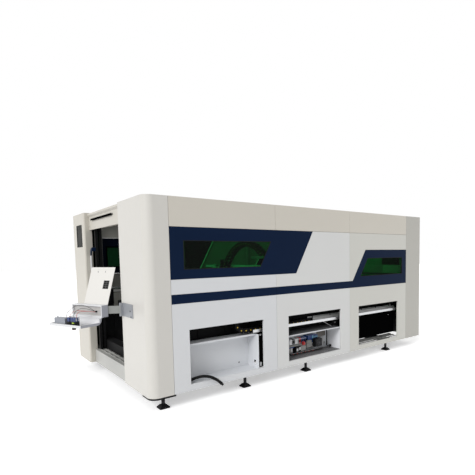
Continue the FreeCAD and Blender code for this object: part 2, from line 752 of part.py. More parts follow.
comb_in = cell("comb_in", 560, "combs that hold the slats, distance from the front")
comb_thick = cell("comb_thick", 8, "combs, plate")
table_left, table_right = slat_first - 70, slat_first + slat_pitch * (slat_count - 1) + 74
notches = []
for k in range(int(float(slat_count))):
    x = slat_first + slat_pitch * k
    notches.append(block(f"notch_{k}", (x - 0.5, comb_in - 20, slat_top - slat_deep),
                         (x + slat_thick + 0.5, width - comb_in + 20, slat_top)))
comb_top = slat_top - 45
table = []
for k, y in enumerate((comb_in, width - comb_in - comb_thick)):
    table.append(block(f"comb_{k}", (table_left, y, 700), (table_right, y + comb_thick, comb_top)))
    ledge = (bed_front + bed_thick, comb_in) if k == 0 else (width - comb_in, bed_back - bed_thick)
    table.append(block(f"ledge_{k}", (table_left, ledge[0], 700), (table_right, ledge[1], 712)))
for k, x in enumerate((table_left, table_right - comb_thick)):
    table.append(block(f"table_end_{k}", (x, comb_in, 700),
                       (x + comb_thick, width - comb_in, comb_top)))
seat("slat_frame", cut("combs", joined("comb_frame", table), notches))

# ---------------------------------------------------------------- gantry, carriage, head

beam_start, beam_end = bed_front - 20, bed_back + 20
body = extruded("gantry_tube", "y", beam_start, beam_end - beam_start, [
    rectangle(gantry_x - gantry_half, gantry_x + gantry_half, gantry_bottom, gantry_top),
    rectangle(gantry_x - gantry_half + 10, gantry_x + gantry_half - 10, gantry_bottom + 10,
              gantry_top - 10),
])
seat("gantry_beam", body)

truck_half = cell("truck_half", 170, "gantry end truck, half its length")
block_top = bed_top + rail_high + 32
trucks = []
for k, y in enumerate(rail_y):
    trucks.append(block(f"truck_{k}", (gantry_x - truck_half, y - 62, block_top),
                        (gantry_x + truck_half + 110, y + 62, gantry_bottom)))
    for n, x in enumerate((gantry_x - truck_half + 10, gantry_x + truck_half - 90)):
        name = f"truck_block_{k}_{n}"
        trucks.append(cut(name, block(f"{name}_bar", (x, y - 32, bed_top + 6),
                                      (x + 80, y + 32, block_top)),
                          [block(f"{name}_slot", (x - 1, y - rail_wide / 2 - fit_gap, bed_top),
                                 (x + 81, y + rail_wide / 2 + fit_gap,
                                  bed_top + rail_high + fit_gap))]))
# the arm that drags the long energy chain reaches forward and down from the near truck
chain_y = cell("chain_y", 140, "long energy chain, distance from the front")
arm_low = chain_low + chain_bend * 2 + 34
trucks.append(block("chain_arm_reach", (gantry_x - 40, chain_y - 50, block_top),
                    (gantry_x + 40, rail_y[0] - 62, block_top + 8)))
trucks.append(block("chain_arm_drop", (gantry_x - 40, chain_y - 50, arm_low),
                    (gantry_x + 40, chain_y - 42, block_top)))
trucks.append(block("chain_arm_foot", (gantry_x - 40, chain_y - 42, arm_low),
                    (gantry_x + 40, chain_y + 50, arm_low + 6)))
seat("gantry_trucks", joined("end_trucks", trucks))

motors = []
for k, y in enumerate(rail_y):
    x = gantry_x + truck_half + 55
    motors.append(joined(f"x_motor_{k}", [
        block(f"x_gearbox_{k}", (x - 42, y - 42, gantry_bottom), (x + 42, y + 42, gantry_bottom + 90)),
        block(f"x_motor_body_{k}", (x - 36, y - 36, gantry_bottom + 90),
              (x + 36, y + 36, gantry_bottom + 230)),
        rod(f"x_motor_cap_{k}", (x, y, gantry_bottom + 230), 30, 30),
    ]))
seat("x_motors", joined("x_drive_motors", motors))

side_x = gantry_x - gantry_half
lower_rail, upper_rail = gantry_bottom + 45, gantry_top - 45
y_guides = [
    block(f"y_guide_{k}", (side_x - 26, beam_start + 20, z - rail_wide / 2),
          (side_x, beam_end - 20, z + rail_wide / 2))
    for k, z in enumerate((lower_rail, upper_rail))
]
seat("y_rails", joined("y_guides", y_guides))

plate_x = side_x - 46
carriage_half = cell("carriage_half", 150, "carriage, half its width")
saddle = [block("carriage_plate", (plate_x - 14, head_y - carriage_half, gantry_bottom + 6),
                (plate_x, head_y + carriage_half, gantry_top + 10))]
for k, z in enumerate((lower_rail, upper_rail)):
    for n, y in enumerate((head_y - carriage_half + 10, head_y + carriage_half - 80)):
        name = f"carriage_block_{k}_{n}"
        saddle.append(cut(name, block(f"{name}_bar", (plate_x, y, z - 30),
                                      (side_x - 6, y + 70, z + 30)),
                          [block(f"{name}_slot",
                                 (side_x - 26 - fit_gap, y - 1, z - rail_wide / 2 - fit_gap),
                                 (side_x, y + 71, z + rail_wide / 2 + fit_gap))]))
# two cheeks carry the head's slide, and a lug at the near side takes the chain's end
for k, y in enumerate((head_y - 72, head_y + 60)):
    saddle.append(block(f"cheek_{k}", (plate_x - 60, y, gantry_bottom + 10),
                        (plate_x - 14, y + 12, gantry_top)))
saddle.append(block("chain_lug", (plate_x - 90, head_y - carriage_half - 90, 1180),
                    (plate_x, head_y - carriage_half + 1, 1188)))
saddle.append(block("chain_lug_web", (plate_x - 14, head_y - carriage_half - 90, 1080),
                    (plate_x, head_y - carriage_half + 8, 1180)))
seat("carriage", joined("carriage_saddle", saddle))
seat("y_motor", joined("y_drive_motor", [
    block("y_gearbox", (plate_x - 84, head_y - carriage_half + 2, gantry_top - 90),
          (plate_x - 14, head_y - 76, gantry_top - 10)),
    rod("y_motor_body", (plate_x - 50, head_y - carriage_half + 38, gantry_top - 10), 30, 100),
]))

head_x = plate_x - 120
barrel = cell("barrel", 36, "cutting head, radius of its barrel")
plate_in = plate_x - 60 - 1
seat("head_plate", joined("head_slide", [
    block("head_back", (plate_in - 12, head_y - 70, 1010), (plate_in, head_y + 70, 1275)),
    *[cut(f"head_clamp_{k}", block(f"head_clamp_{k}_bar", (head_x - 10, head_y - 46, z),
                                   (plate_in - 12, head_y + 46, z + 26)),
          [rod(f"head_clamp_{k}_bore", (head_x, head_y, z - 1), barrel, 28)])
      for k, z in enumerate((1060, 1205))],
]))


def turned(name, base_x, base_y, steps):
    """A turned piece: (radius, height) steps of its half profile, bottom to top."""
    body = doc.addObject("PartDesign::Body", name)
    loop = [(0, steps[0][1])]
    loop += [(radius, z) for radius, z in steps]
    loop.append((0, steps[-1][1]))
    sketch = outline(body, f"{name}_profile", "XZ_Plane", -as_size(base_y), [loop])
    bind(sketch, "AttachmentOffset.Base.x", base_x)
    made = body.newObject("PartDesign::Revolution", f"{name}_turn")
    made.Profile = sketch
    made.ReferenceAxis = (sketch, ["V_Axis"])
    made.Angle = 360
    sketch.Visibility = False
    return body


seat("cutting_head", turned("head_stack", head_x, head_y, [
    (14, 960), (24, 985), (24, 1020), (barrel, 1035), (barrel, 1150), (30, 1156), (30, 1190),
    (barrel, 1196), (barrel, 1235), (16, 1245), (16, 1285),
]))
seat("nozzle", turned("nozzle_tip", head_x, head_y, [
    (3, 925), (9, 940), (14, 948), (14, 960),
]))

# ---------------------------------------------------------------- energy chains

def along(start, heading, segments):
    """Follows straight and curved segments. Gives a function from the distance along
    the path to the point and the heading there. A segment is (length, turn)."""
    def at(distance):
        x, z, angle = start[0], start[1], heading
        for stretch, turn in segments:
            step = min(distance, stretch)
            if turn:
                radius = stretch / math.radians(abs(turn))
                swept = math.degrees(step / radius) * (1 if turn > 0 else -1)
                side = math.radians(angle + (90 if turn > 0 else -90))
                cx, cz = x + radius * math.cos(side), z + radius * math.sin(side)
                a = math.radians(angle + swept + (-90 if turn > 0 else 90))
                x, z = cx + radius * math.cos(a), cz + radius * math.sin(a)
                angle += swept
            else:
                x += step * math.cos(math.radians(angle))
                z += step * math.sin(math.radians(angle))
            distance -= step
            if distance <= 1e-9:
                break
        return x, z, angle
    return at


def arc(radius, turn):
    return radius * math.radians(abs(turn)), turn


def link(pitch, tall, wide):
    """One open link about the origin: two side plates with cut corners, whose noses
    lap the next link's cheeks, and two cross bars. It lies along X, its width along Y."""
    half, nose = pitch / 2 - 1.5, tall / 4
    ring = [
        (-half, -nose), (-half + nose, -tall / 2), (half - nose, -tall / 2), (half, -nose),
        (half, nose), (half - nose, tall / 2), (-half + nose, tall / 2), (-half, nose),
    ]
    wire = Part.makePolygon([Vector(a, 0, b) for a, b in ring + ring[:1]])
    cheek = 6
    parts = []
    for y in (-wide / 2, wide / 2 - cheek):
        plate = Part.Face(wire).extrude(Vector(0, cheek, 0))
        plate.translate(Vector(0, y, 0))
        parts.append(plate)
    for z in (-tall / 2, tall / 2 - 5):
        parts.append(Part.makeBox(pitch / 3, wide - 2 * cheek, 5,
                                  Vector(-pitch / 6, -wide / 2 + cheek, z)))
    return parts[0].fuse(parts[1:]).removeSplitter()


def chain(path, total, pitch, tall, wide, place):
    """Links one pitch apart along a path, each turned to the path's heading."""
    one = link(pitch, tall, wide)
    made = []
    for k in range(int(total / pitch)):
        a, b, angle = path((k + 0.5) * pitch)
        copy = one.copy()
        copy.Placement = place(a, b, angle)
        made.append(copy)
    return Part.makeCompound(made)


pitch = float(chain_pitch)
lower = float(chain_fixed - chain_turn)
upper = float(gantry_x - chain_turn)
segments = [(lower, 0), arc(float(chain_bend), -180), (upper, 0)]
long_path = along((float(chain_fixed), float(chain_low)), 180, segments)
long_total = sum(stretch for stretch, _ in segments)
chain_tall = cell("chain_tall", 56, "long energy chain, height of a link")
chain_wide = cell("chain_wide", 96, "long energy chain, width of a link")
seat("x_chain", solids("long_chain", chain(
    long_path, long_total, pitch, float(chain_tall), float(chain_wide),
    lambda a, b, angle: Placement(Vector(a, float(chain_y), b),
                                  Rotation(Vector(0, 1, 0), -angle)))))

# the short chain lies in its tray on the beam, humps up and comes down on the carriage
short_tall = cell("short_tall", 72, "short energy chain, height of a link")
short_wide = cell("short_wide", 90, "short energy chain, width of a link")
hump_tray = cell("hump_tray", 1364, "short energy chain's tray, floor")
hump_start = cell("hump_start", 330, "short energy chain, fixed end from the front")
segments = [(90.0, 0), arc(250, 38), arc(550, -38), arc(600, -56), (140.0, 0)]
short_path = along((float(hump_start), float(hump_tray + short_tall / 2)), 0, segments)
short_total = sum(stretch for stretch, _ in segments)
short_x = plate_x - 40
seat("y_chain", solids("short_chain", chain(
    short_path, short_total, pitch, float(short_tall), float(short_wide),
    lambda a, b, angle: Placement(
        Vector(float(short_x), a, b),
        Rotation(Vector(0, 0, 1), 90) * Rotation(Vector(0, 1, 0), -angle)))))
print("short chain ends at", short_path(short_total))

seat("y_chain_tray", joined("hump_shelf", [
    block("hump_floor", (short_x - 52, beam_start + 10, hump_tray - 3),
          (side_x + 60, hump_start + 400, hump_tray)),
    block("hump_lip", (short_x - 52, beam_start + 10, hump_tray),
          (short_x - 49, hump_start + 400, hump_tray + 30)),
    block("hump_leg_1", (side_x + 50, beam_start + 60, gantry_top),
          (side_x + 60, beam_start + 120, hump_tray - 3)),
    block("hump_leg_2", (side_x + 50, hump_start + 300, gantry_top),
          (side_x + 60, hump_start + 360, hump_tray - 3)),
]))

tray_front = cell("tray_front", 62, "long energy chain's tray, front edge")
tray_left = bay_one_right - 60
seat("x_chain_tray", joined("long_tray", [
    block("tray_floor", (tray_left, tray_front, tray_level), (4300, 200, tray_level + 3)),
    block("tray_front_lip", (tray_left, tray_front, tray_level),
          (4300, tray_front + 3, tray_level + 36)),
    block("tray_back_lip", (tray_left, 197, tray_level), (4300, 200, tray_level + 50)),
    block("tray_backing", (chain_fixed, bed_front - 6, tray_level + 3),
          (4300, bed_front, tray_level + 64)),
    *[block(f"tray_bracket_{k}", (x, 200, tray_level + 3), (x + 40, bed_front, tray_level + 9))
      for k, x in enumerate((1500, 2300, 3100, 4100))],
]))

# ---------------------------------------------------------------- service bays

duct_back = cell("duct_back", 250, "first bay's white recess, back")
duct_right = cell("duct_right", 1343, "first bay's white recess, right side")
duct_top = cell("duct_top", 470, "first bay's white recess, top")
duct = joined("duct_sheets", [
    block("duct_rear", (bay_one_left - 112, duct_back, foot_plate),
          (duct_right, duct_back + skin, duct_top)),
    block("duct_side", (duct_right - skin, inner, foot_plate), (duct_right, duct_back, duct_top)),
    block("duct_roof", (bay_one_left - 112, 100, duct_top - skin), (duct_right, duct_back, duct_top)),
    block("duct_lip", (bay_one_left - 112, 100, duct_top - 22),
          (duct_right, 100 + skin, duct_top)),
    block("duct_floor", (bay_one_left - 112, inner, foot_plate),
          (duct_right, duct_back, foot_plate + skin)),
])
seat("duct_box", cut("duct", duct, [
    rod("duct_small_hole", (1205, duct_back - 10, 115), 9, 30, "+Y"),
    rod("duct_side_hole", (duct_right - 20, 105, 130), 22, 40, "+X"),
]))

box_left, box_right = bay_two_left - 8, bay_two_right + 26
box_roof = cell("box_roof", 384, "second bay's control box, top")
box_back = cell("box_back", 294, "second bay's control box, back")
ribs = [
    block(f"floor_rib_{k}", (box_left, inner + 8 + 22 * k, foot_plate + skin),
          (box_right, inner + 18 + 22 * k, foot_plate + skin + 5))
    for k in range(10)
]
seat("control_box", joined("control_sheets", [
    block("control_rear", (box_left, box_back, foot_plate), (box_right, box_back + skin, box_roof)),
    block("control_left", (box_left, inner, foot_plate), (box_left + skin, box_back, box_roof)),
    block("control_right", (box_right - skin, inner, foot_plate), (box_right, box_back, box_roof)),
    block("control_roof", (box_left, inner, box_roof - skin), (box_right, box_back, box_roof)),
    block("control_lip", (box_left, inner, box_roof - 10), (box_right, inner + skin, box_roof)),
    block("control_floor", (box_left, inner, foot_plate), (box_right, box_back, foot_plate + skin)),
    *ribs,
]))
rail_low, rail_mid = 130, 245
devices = []
for k, z in enumerate((rail_low, rail_mid)):
    devices.append(block(f"din_rail_{k}", (box_left + 20, box_back - 8, z - 17),
                         (box_right - 60, box_back, z + 17)))
spec = [
    ("contactor", 6, box_left + 40, 48, 70, 80, rail_mid), ("breaker", 5, box_left + 345, 30, 80, 70, rail_mid),
    ("supply", 1, box_left + 520, 180, 100, 95, rail_mid), ("relay", 6, box_left + 60, 32, 60, 60, rail_low),
    ("drive", 2, box_left + 300, 90, 92, 90, rail_low), ("terminals", 1, box_left + 540, 240, 48, 44, rail_low),
]
for kind, count, start, wide, tall, deep, z in spec:
    for k in range(count):
        x = start + k * (wide + 3)
        devices.append(block(f"{kind}_{k}", (x, box_back - 8 - deep, z - tall / 2),
                             (x + wide, box_back - 8, z + tall / 2)))
seat("control_devices", joined("din_gear", devices))

cover_front = cell("cover_front", 110, "third bay's dark cover, face")
seat("bay_cover", joined("dark_cover", [
    block("dark_sheet", (bay_three_left - 60, cover_front, 130),
          (bay_three_right + 40, cover_front + skin, tray_level - 1)),
    block("dark_foot", (bay_three_left - 60, cover_front, 130),
          (bay_three_right + 40, cover_front + 60, 130 + skin)),
    rod("dark_bolt", (bay_three_right - 120, cover_front - 8, tray_level - 70), 11, 8, "+Y"),
]))

# ---------------------------------------------------------------- door leaves

leaf_wide = cell("leaf_wide", 640, "door leaf, width")
leaf_thick = cell("leaf_thick", 35, "door leaf, thickness")
stile = cell("stile", 40, "door leaf, width of its frame profile")
outer_x = cell("outer_x", 60, "outer door leaf, face")
inner_x = cell("inner_x", 110, "inner door leaf, face")
outer_y = cell("outer_y", 1862, "outer door leaf, near edge when open")
inner_y = cell("inner_y", 1872, "inner door leaf, near edge when open")
for name, x, y in (("outer", outer_x, outer_y), ("inner", inner_x, inner_y)):
    body = extruded(f"leaf_{name}", "x", x, leaf_thick, [
        rectangle(y, y + leaf_wide, leaf_bottom, leaf_top),
        rectangle(y + stile, y + leaf_wide - stile, leaf_bottom + stile, leaf_top - stile),
    ])
    seat(f"door_frame_{name}", body)
    seat(f"door_pane_{name}", block(
        f"leaf_pane_{name}", (x + 14, y + stile, leaf_bottom + stile),
        (x + 20, y + leaf_wide - stile, leaf_top - stile)))

grip_y = cell("grip_y", 1925, "door handle, near edge")
grip_low = cell("grip_low", 1010, "door handle, bottom")
grip_high = cell("grip_high", 1438, "door handle, top of its bar")
grip_wide = cell("grip_wide", 28, "door handle, width of its bar")
# the handle's lower end is screwed to a flat that crosses the pane to the frame
seat("door_handle", joined("handle", [
    block("grip_bar", (10, grip_y, grip_low), (24, grip_y + grip_wide, grip_high)),
    block("grip_lug", (24, grip_y + 4, grip_low), (outer_x - 5, grip_y + 24, grip_low + 30)),
    block("grip_flat", (outer_x - 5, outer_y, grip_low - 20),
          (outer_x, grip_y + grip_wide + 4, grip_low + 50)),
]))
# its upper end hangs on a plate that arches over to a stand-off on the leaf's frame
arch_out = grip_y + grip_wide
arch = extruded("handle_arch", "x", 12, 12, [[
    (arch_out, grip_high), (arch_out, grip_high + 32), (arch_out - 13, grip_high + 67),
    (arch_out - 38, grip_high + 94), (outer_y, grip_high + 107), (outer_y, grip_high + 57),
    (outer_y + 33, grip_high + 52), (grip_y - 10, grip_high + 32), (grip_y, grip_high),
]])
seat("handle_bracket", joined("handle_hanger", [
    arch,
    block("handle_standoff", (24, outer_y, grip_high + 57), (outer_x, outer_y + 28, grip_high + 107)),
]))

# ---------------------------------------------------------------- console

# the bracket: a plate on the column with two screws, folded out to the hinge knuckles
bracket_front = cell("bracket_front", 390, "console bracket, near edge")
bracket_low = cell("bracket_low", 765, "console bracket, bottom")
bracket_high = cell("bracket_high", 910, "console bracket, top")
pin_radius = cell("pin_radius", 7, "console arm's hinge pin, radius")
knuckle = cell("knuckle", 13, "console arm's hinge knuckles, radius")
plate = [
    block("bracket_plate", (-6, bracket_front, bracket_low), (0, arm_y - 14, bracket_high)),
    block("bracket_fold", (arm_x - 6, arm_y - 20, bracket_low), (-6, arm_y - 14, bracket_high)),
]
for k, z in enumerate((bracket_low, bracket_high - 30)):
    plate.append(rod(f"bracket_knuckle_{k}", (arm_x, arm_y, z), knuckle, 30))
    plate.append(block(f"bracket_web_{k}", (arm_x - 6, arm_y - 20, z), (arm_x + 6, arm_y, z + 30)))
plate.append(rod("bracket_pin", (arm_x, arm_y, bracket_low), pin_radius, bracket_high - bracket_low))
for k, (y, z) in enumerate(((458, 837), (439, 778))):
    plate.append(rod(f"bracket_screw_{k}", (-6, y, z), 7, 4, "-X"))
seat("console_bracket", joined("bracket", plate))

# the arm, in the console's own directions: a knuckle on the pin, a diagonal plate and
# the flange that is screwed to the back of the console box
yaw = math.radians(float(console_yaw))
reach = (float(arm_x - console_x), float(arm_y - console_y))
pin_at = cell("pin_at", round(reach[0] * math.cos(yaw) + reach[1] * math.sin(yaw), 3),
              "hinge pin along the console's width")
pin_back = cell("pin_back", round(-reach[0] * math.sin(yaw) + reach[1] * math.cos(yaw), 3),
                "hinge pin towards the operator")
arm_low_z, arm_high_z = bracket_low + 30 + fit_gap, bracket_high - 30 - fit_gap
arm = joined("arm_solid", [
    rod("arm_knuckle", (pin_at, pin_back, arm_low_z), knuckle, arm_high_z - arm_low_z),
    extruded("arm_web", "z", arm_low_z, arm_high_z - arm_low_z, [[
        (pin_at + 4, pin_back - 6), (pin_at + 10, pin_back + 6),
        (12, 6 - console_deep - 6), (90, 6 - console_deep - 6), (90, -console_deep - 6),
        (8, -console_deep - 6),
    ]]),
])
seat_on_console("console_arm", cut("arm", arm, [
    rod("arm_bore", (pin_at, pin_back, arm_low_z - 1), pin_radius + 0.05,
        arm_high_z - arm_low_z + 2)]))

hinge_y = cell("hinge_y", 3, "button cover's hinge, before the box's front")
hinge_z = cell("hinge_z", 761, "button cover's hinge, height")
hinge_radius = cell("hinge_radius", 4, "button cover's hinge, knuckle radius")
hinge_pin = cell("hinge_pin", 2, "button cover's hinge, pin radius")
hinge_from = cell("hinge_from", 150, "cover's own knuckle, start")
hinge_to = cell("hinge_to", 350, "cover's own knuckle, end")
body = tray("console_shell", "y", -console_deep, console_deep,
            [rectangle(0, console_wide, console_bottom, console_top)], "low")
shell = [body, rod("cover_pin", (0, hinge_y, hinge_z), hinge_pin, console_wide, "+X")]
for k, (a, b) in enumerate(((as_size(0), hinge_from - 1), (hinge_to + 1, console_wide))):
    shell.append(rod(f"box_knuckle_{k}", (a, hinge_y, hinge_z), hinge_radius, b - a, "+X"))
    shell.append(block(f"box_leaf_{k}", (a, -20, console_bottom - 3), (b, hinge_y, console_bottom)))
seat_on_console("console_box", joined("console_shell_hinge", shell))

holes = [
    rectangle(as_size(x), as_size(x) + 6, 386, 392) for x in (142, 262)
]
for row in range(4):
    for column in range(2):
        x, z = 52 + 44 * column, 178 + 23 * row
        holes.append(rectangle(as_size(x), as_size(x) + 36, z, z + 17))
plate = extruded("screen_sheet", "y", 0, skin,
                 [rectangle(0, screen_wide, 0, screen_tall), *holes],
                 tilt=(screen_lean, console_top, console_deep))
seat_on_console("console_plate", plate)

# the button cover: a J of sheet on a hinge under the box's front edge, with a rim all
# round, shown swung open so that the buttons face down and their contacts face up
start, end = as_size(6), cover_deep
rear_top = hinge_z - hinge_radius
body = extruded("cover_sheet", "x", -2, cover_wide, [[
    (start, rear_top), (start, cover_floor), (end, cover_floor), (end, cover_floor + cover_rim),
    (end - skin, cover_floor + cover_rim), (end - skin, cover_floor + skin),
    (start + skin, cover_floor + skin), (start + skin, rear_top),
]])
cheek_loop = [
    (start, rear_top), (start, cover_floor), (end, cover_floor), (end, cover_floor + cover_rim),
    (start + cover_rim, cover_floor + cover_rim), (start + cover_rim, rear_top),
]
pad(body, "cover_cheek_right", "x", -2, skin, [cheek_loop])
pad(body, "cover_cheek_left", "x", cover_wide - 2 - skin, skin, [cheek_loop])
fillet(body, cover_round, along_x_at(start, cover_floor))
fillet(body, cover_round - skin, along_x_at(start + skin, cover_floor + skin))
stations = (179, 138, 234)
contact_y = 205
stem_hole = cell("stem_hole", 5.5, "holes for the buttons' stems")
leaf = joined("cover_with_knuckle", [
    body,
    block("cover_leaf", (hinge_from, start, rear_top), (hinge_to, start + skin, hinge_z)),
    rod("cover_knuckle", (hinge_from, hinge_y, hinge_z), hinge_radius, hinge_to - hinge_from, "+X"),
])
seat_on_console("console_cover", cut("cover_holes", leaf, [
    rod("cover_bore", (hinge_from - 1, hinge_y, hinge_z), hinge_pin + 0.05,
        hinge_to - hinge_from + 2, "+X"),
    *[rod(f"stem_hole_{x}", (x, contact_y, cover_floor - 5), stem_hole, 15) for x in stations],
]))

# contacts behind the buttons with their collars in front of the sheet, and the small
# metal switch box beside them
floor_top = cover_floor + skin
contact_high = cell("contact_high", 95, "contacts on the button cover, height")
switch_high = cell("switch_high", 84, "switch box on the button cover, height")
travel = cell("travel", 4.5, "gap between a button's cap and its collar")
caps = (("emergency_stop", 20, 24, 4), ("start_button", 14, 5, 3), ("stop_button", 14, 5, 3))
contacts = []
for x, (name, radius, drop, rim) in zip(stations, caps):
    contact = joined(f"{name}_contact", [
        block(f"{name}_contact_body", (x - 19, contact_y - 24, floor_top),
              (x + 19, contact_y + 24, floor_top + contact_high)),
        rod(f"{name}_collar", (x, contact_y, cover_floor - rim), radius + 3, rim),
        rod(f"{name}_neck", (x, contact_y, cover_floor - rim), stem_hole, rim + skin),
    ])
    contacts.append(cut(f"{name}_well", contact, [
        rod(f"{name}_well_bore", (x, contact_y, cover_floor - rim - 1), 4.5, 24)]))
    cap_top = cover_floor - rim - travel
    seat_on_console(name, joined(f"{name}_cap", [
        rod(f"{name}_head", (x, contact_y, cap_top - drop), radius, drop),
        rod(f"{name}_stem", (x, contact_y, cap_top), 4, 18),
    ]))
contacts.append(block("switch_box", (275, contact_y - 35, floor_top),
                      (455, contact_y + 35, floor_top + switch_high)))
contacts.append(rod("switch_peg", (447, contact_y, floor_top + switch_high), 5, 14))
seat_on_console("contact_blocks", joined("contacts", contacts))

# ---------------------------------------------------------------- wires and hose

def tube(points, diameter):
    """A round tube along straight runs joined by tangent arcs."""
    at = [Vector(*p) for p in points]
    edges, last, radii = [], at[0], []
    for a, b, c in zip(at, at[1:], at[2:]):
        into, out = (b - a).normalize(), (c - b).normalize()
        turn = into.getAngle(out)
        shorter = min((b - a).Length, (c - b).Length)
        setback = 0.45 * shorter
        radii.append(setback / math.tan(turn / 2))
        first, final = b - into * setback, b + out * setback
        inward = (out - into).normalize()
        middle = b + inward * (radii[-1] / math.cos(turn / 2) - radii[-1])
        edges.append(Part.LineSegment(last, first).toShape())
        edges.append(Part.Arc(first, middle, final).toShape())
        last = final
    edges.append(Part.LineSegment(last, at[-1]).toShape())
    spine = Part.Wire(edges)
    ring = Part.Wire([Part.makeCircle(diameter / 2, at[0], (at[1] - at[0]).normalize())])
    made = spine.makePipeShell([ring], True, True)
    ideal = math.pi * diameter ** 2 / 4 * spine.Length
    print(f"tube {diameter}: length {spine.Length:.0f}, least radius {min(radii):.0f},"
          f" volume {made.Volume / ideal:.4f} of its section times its length")
    return made


hose_wide = cell("hose_wide", 32, "drain hose, diameter")
hose_points = [
    (345, 250, 94), (345, 190, 93), (364, 134, 88), (408, 96, 82), (466, 80, 86),
    (524, 52, 110), (584, 14, 124), (640, -24, 116), (692, -52, 88), (730, -62, 58),
    (757, -64, 30),
]
seat("drain_hose", solids("hose", tube(hose_points, float(hose_wide))))

# the hose's fitting goes on from its last run: a ferrule, a taper and an open mouth
mouth = turned("hose_mouth", 0, 0, [
    (18.5, 0), (18.5, 8), (15, 8), (13, 24), (13, 34), (9, 34), (9, 16),
])
last_run = Vector(*hose_points[-1]) - Vector(*hose_points[-2])
mouth.Placement = Placement(Vector(), Rotation(Vector(0, 0, 1), last_run))
starts[mouth.Name] = hose_points[-1]
seat("hose_nozzle", mouth)

wire_wide = cell("wire_wide", 4, "console wires, diameter")
contact_top, switch_top = float(floor_top + contact_high), float(floor_top + switch_high)
wire_routes = [
    [(302, 202, switch_top), (302, 202, 812), (290, 176, 852), (262, 146, 884), (226, 116, 902),
     (188, 82, 900), (156, 48, 880), (128, 22, 852), (106, 0, 828)],
    [(249, 199, contact_top), (249, 199, 812), (250, 166, 836), (226, 126, 846), (192, 94, 842),
     (160, 56, 832), (132, 26, 826), (106, 0, 822)],
    [(226, 203, contact_top), (226, 203, 814), (212, 172, 844), (186, 132, 858), (160, 90, 856),
     (132, 42, 842), (110, 0, 826)],
    [(182, 200, contact_top), (182, 200, 818), (176, 170, 856), (160, 126, 872), (142, 84, 866),
     (121, 40, 848), (102, 0, 828)],
    [(138, 201, contact_top), (138, 201, 816), (144, 168, 840), (142, 120, 842), (130, 76, 836),
     (120, 36, 828), (112, 0, 820)],
]
wires = [tube(route, float(wire_wide)) for route in wire_routes]
seat_on_console("console_wires", solids("wires", Part.makeCompound(wires)))

# ---------------------------------------------------------------- check and write

doc.recompute()
for thing in doc.Objects:
    if {"Invalid", "Error"} & set(thing.State):
        raise ValueError(f"{thing.Name} ({thing.Label}) failed: {thing.State}")
total = FreeCAD.BoundBox()
for node in nodes:
    if node.Shape.isNull() or not node.Shape.isValid():
        raise ValueError(f"{node.Label} has no valid shape")
    if not node.Shape.Solids:
        raise ValueError(f"{node.Label} has no solid")
    if node.Label not in ("drain_hose", "hose_nozzle", "console_wires"):
        total.add(node.Shape.BoundBox)
print("nodes", len(nodes), "box", total)
for node in nodes:
    node.Shape.exportStep(f"parts/{node.Label}.step")
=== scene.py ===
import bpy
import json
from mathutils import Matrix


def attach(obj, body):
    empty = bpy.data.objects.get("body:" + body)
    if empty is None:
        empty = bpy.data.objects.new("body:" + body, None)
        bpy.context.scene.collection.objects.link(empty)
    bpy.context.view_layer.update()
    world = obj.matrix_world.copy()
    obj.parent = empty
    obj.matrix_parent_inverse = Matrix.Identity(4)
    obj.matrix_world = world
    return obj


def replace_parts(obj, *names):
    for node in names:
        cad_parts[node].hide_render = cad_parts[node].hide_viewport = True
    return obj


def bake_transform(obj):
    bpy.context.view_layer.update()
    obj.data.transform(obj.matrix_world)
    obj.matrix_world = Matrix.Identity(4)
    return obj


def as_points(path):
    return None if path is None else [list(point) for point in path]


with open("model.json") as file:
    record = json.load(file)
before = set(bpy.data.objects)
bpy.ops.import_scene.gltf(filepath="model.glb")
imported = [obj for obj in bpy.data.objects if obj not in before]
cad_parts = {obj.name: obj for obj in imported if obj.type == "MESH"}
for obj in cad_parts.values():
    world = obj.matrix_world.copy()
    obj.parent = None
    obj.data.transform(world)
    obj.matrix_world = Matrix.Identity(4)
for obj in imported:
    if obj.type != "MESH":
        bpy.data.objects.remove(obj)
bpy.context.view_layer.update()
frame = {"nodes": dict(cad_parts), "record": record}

import json
import math

import bpy
from mathutils import Matrix, Vector

# -------- welded bed
# Two long side beams of welded plate on four cross members, painted near black, with
# upright ribs welded to the outside of the near beam and the inside of both.

body_of_node = {
    node: body for body, nodes in frame["record"]["behaviour"]["bodies"].items() for node in nodes
}


def turned(degrees, axis):
    """A turn about an axis."""
    return Matrix.Rotation(math.radians(degrees), 4, axis)


# the cabin's front left bottom corner and the console's own frame: the pieces' sizes
# and places are in millimetres from one of them
CABIN = Matrix.Translation((-2.0391, -1.265, 0.14))
DESK = CABIN @ Matrix.Translation((-0.2194, 0.7182, 0)) @ turned(112, "Z")


def deselect():
    """Leaves nothing selected, so that an operator acts on its own piece alone."""
    bpy.ops.object.select_all(action="DESELECT")


def only(thing):
    """Selects one piece alone and makes it the active one."""
    deselect()
    thing.select_set(True)
    bpy.context.view_layer.objects.active = thing
    return thing


def edit(thing):
    """Opens one piece alone in edit mode."""
    only(thing)
    bpy.ops.object.mode_set(mode="EDIT")


def close():
    """Leaves edit mode."""
    bpy.ops.object.mode_set(mode="OBJECT")


def round_sharp_edges(thing, by, sharpness=40):
    """Bevels the edges that turn by more than the given angle; by is in millimetres."""
    edit(thing)
    bpy.ops.mesh.select_mode(type="EDGE")
    bpy.ops.mesh.select_all(action="DESELECT")
    bpy.ops.mesh.edges_select_sharp(sharpness=math.radians(sharpness))
    bpy.ops.mesh.bevel(offset=by / 1000, segments=2, affect="EDGES", clamp_overlap=True)
    close()
    return thing


def placed(name, size=(1, 1, 1)):
    """The primitive just added, with its name, and its place and size in its mesh."""
    thing = bpy.context.object
    thing.name = name
    thing.scale = size
    bpy.ops.object.transform_apply(location=True, rotation=True, scale=True)
    return thing


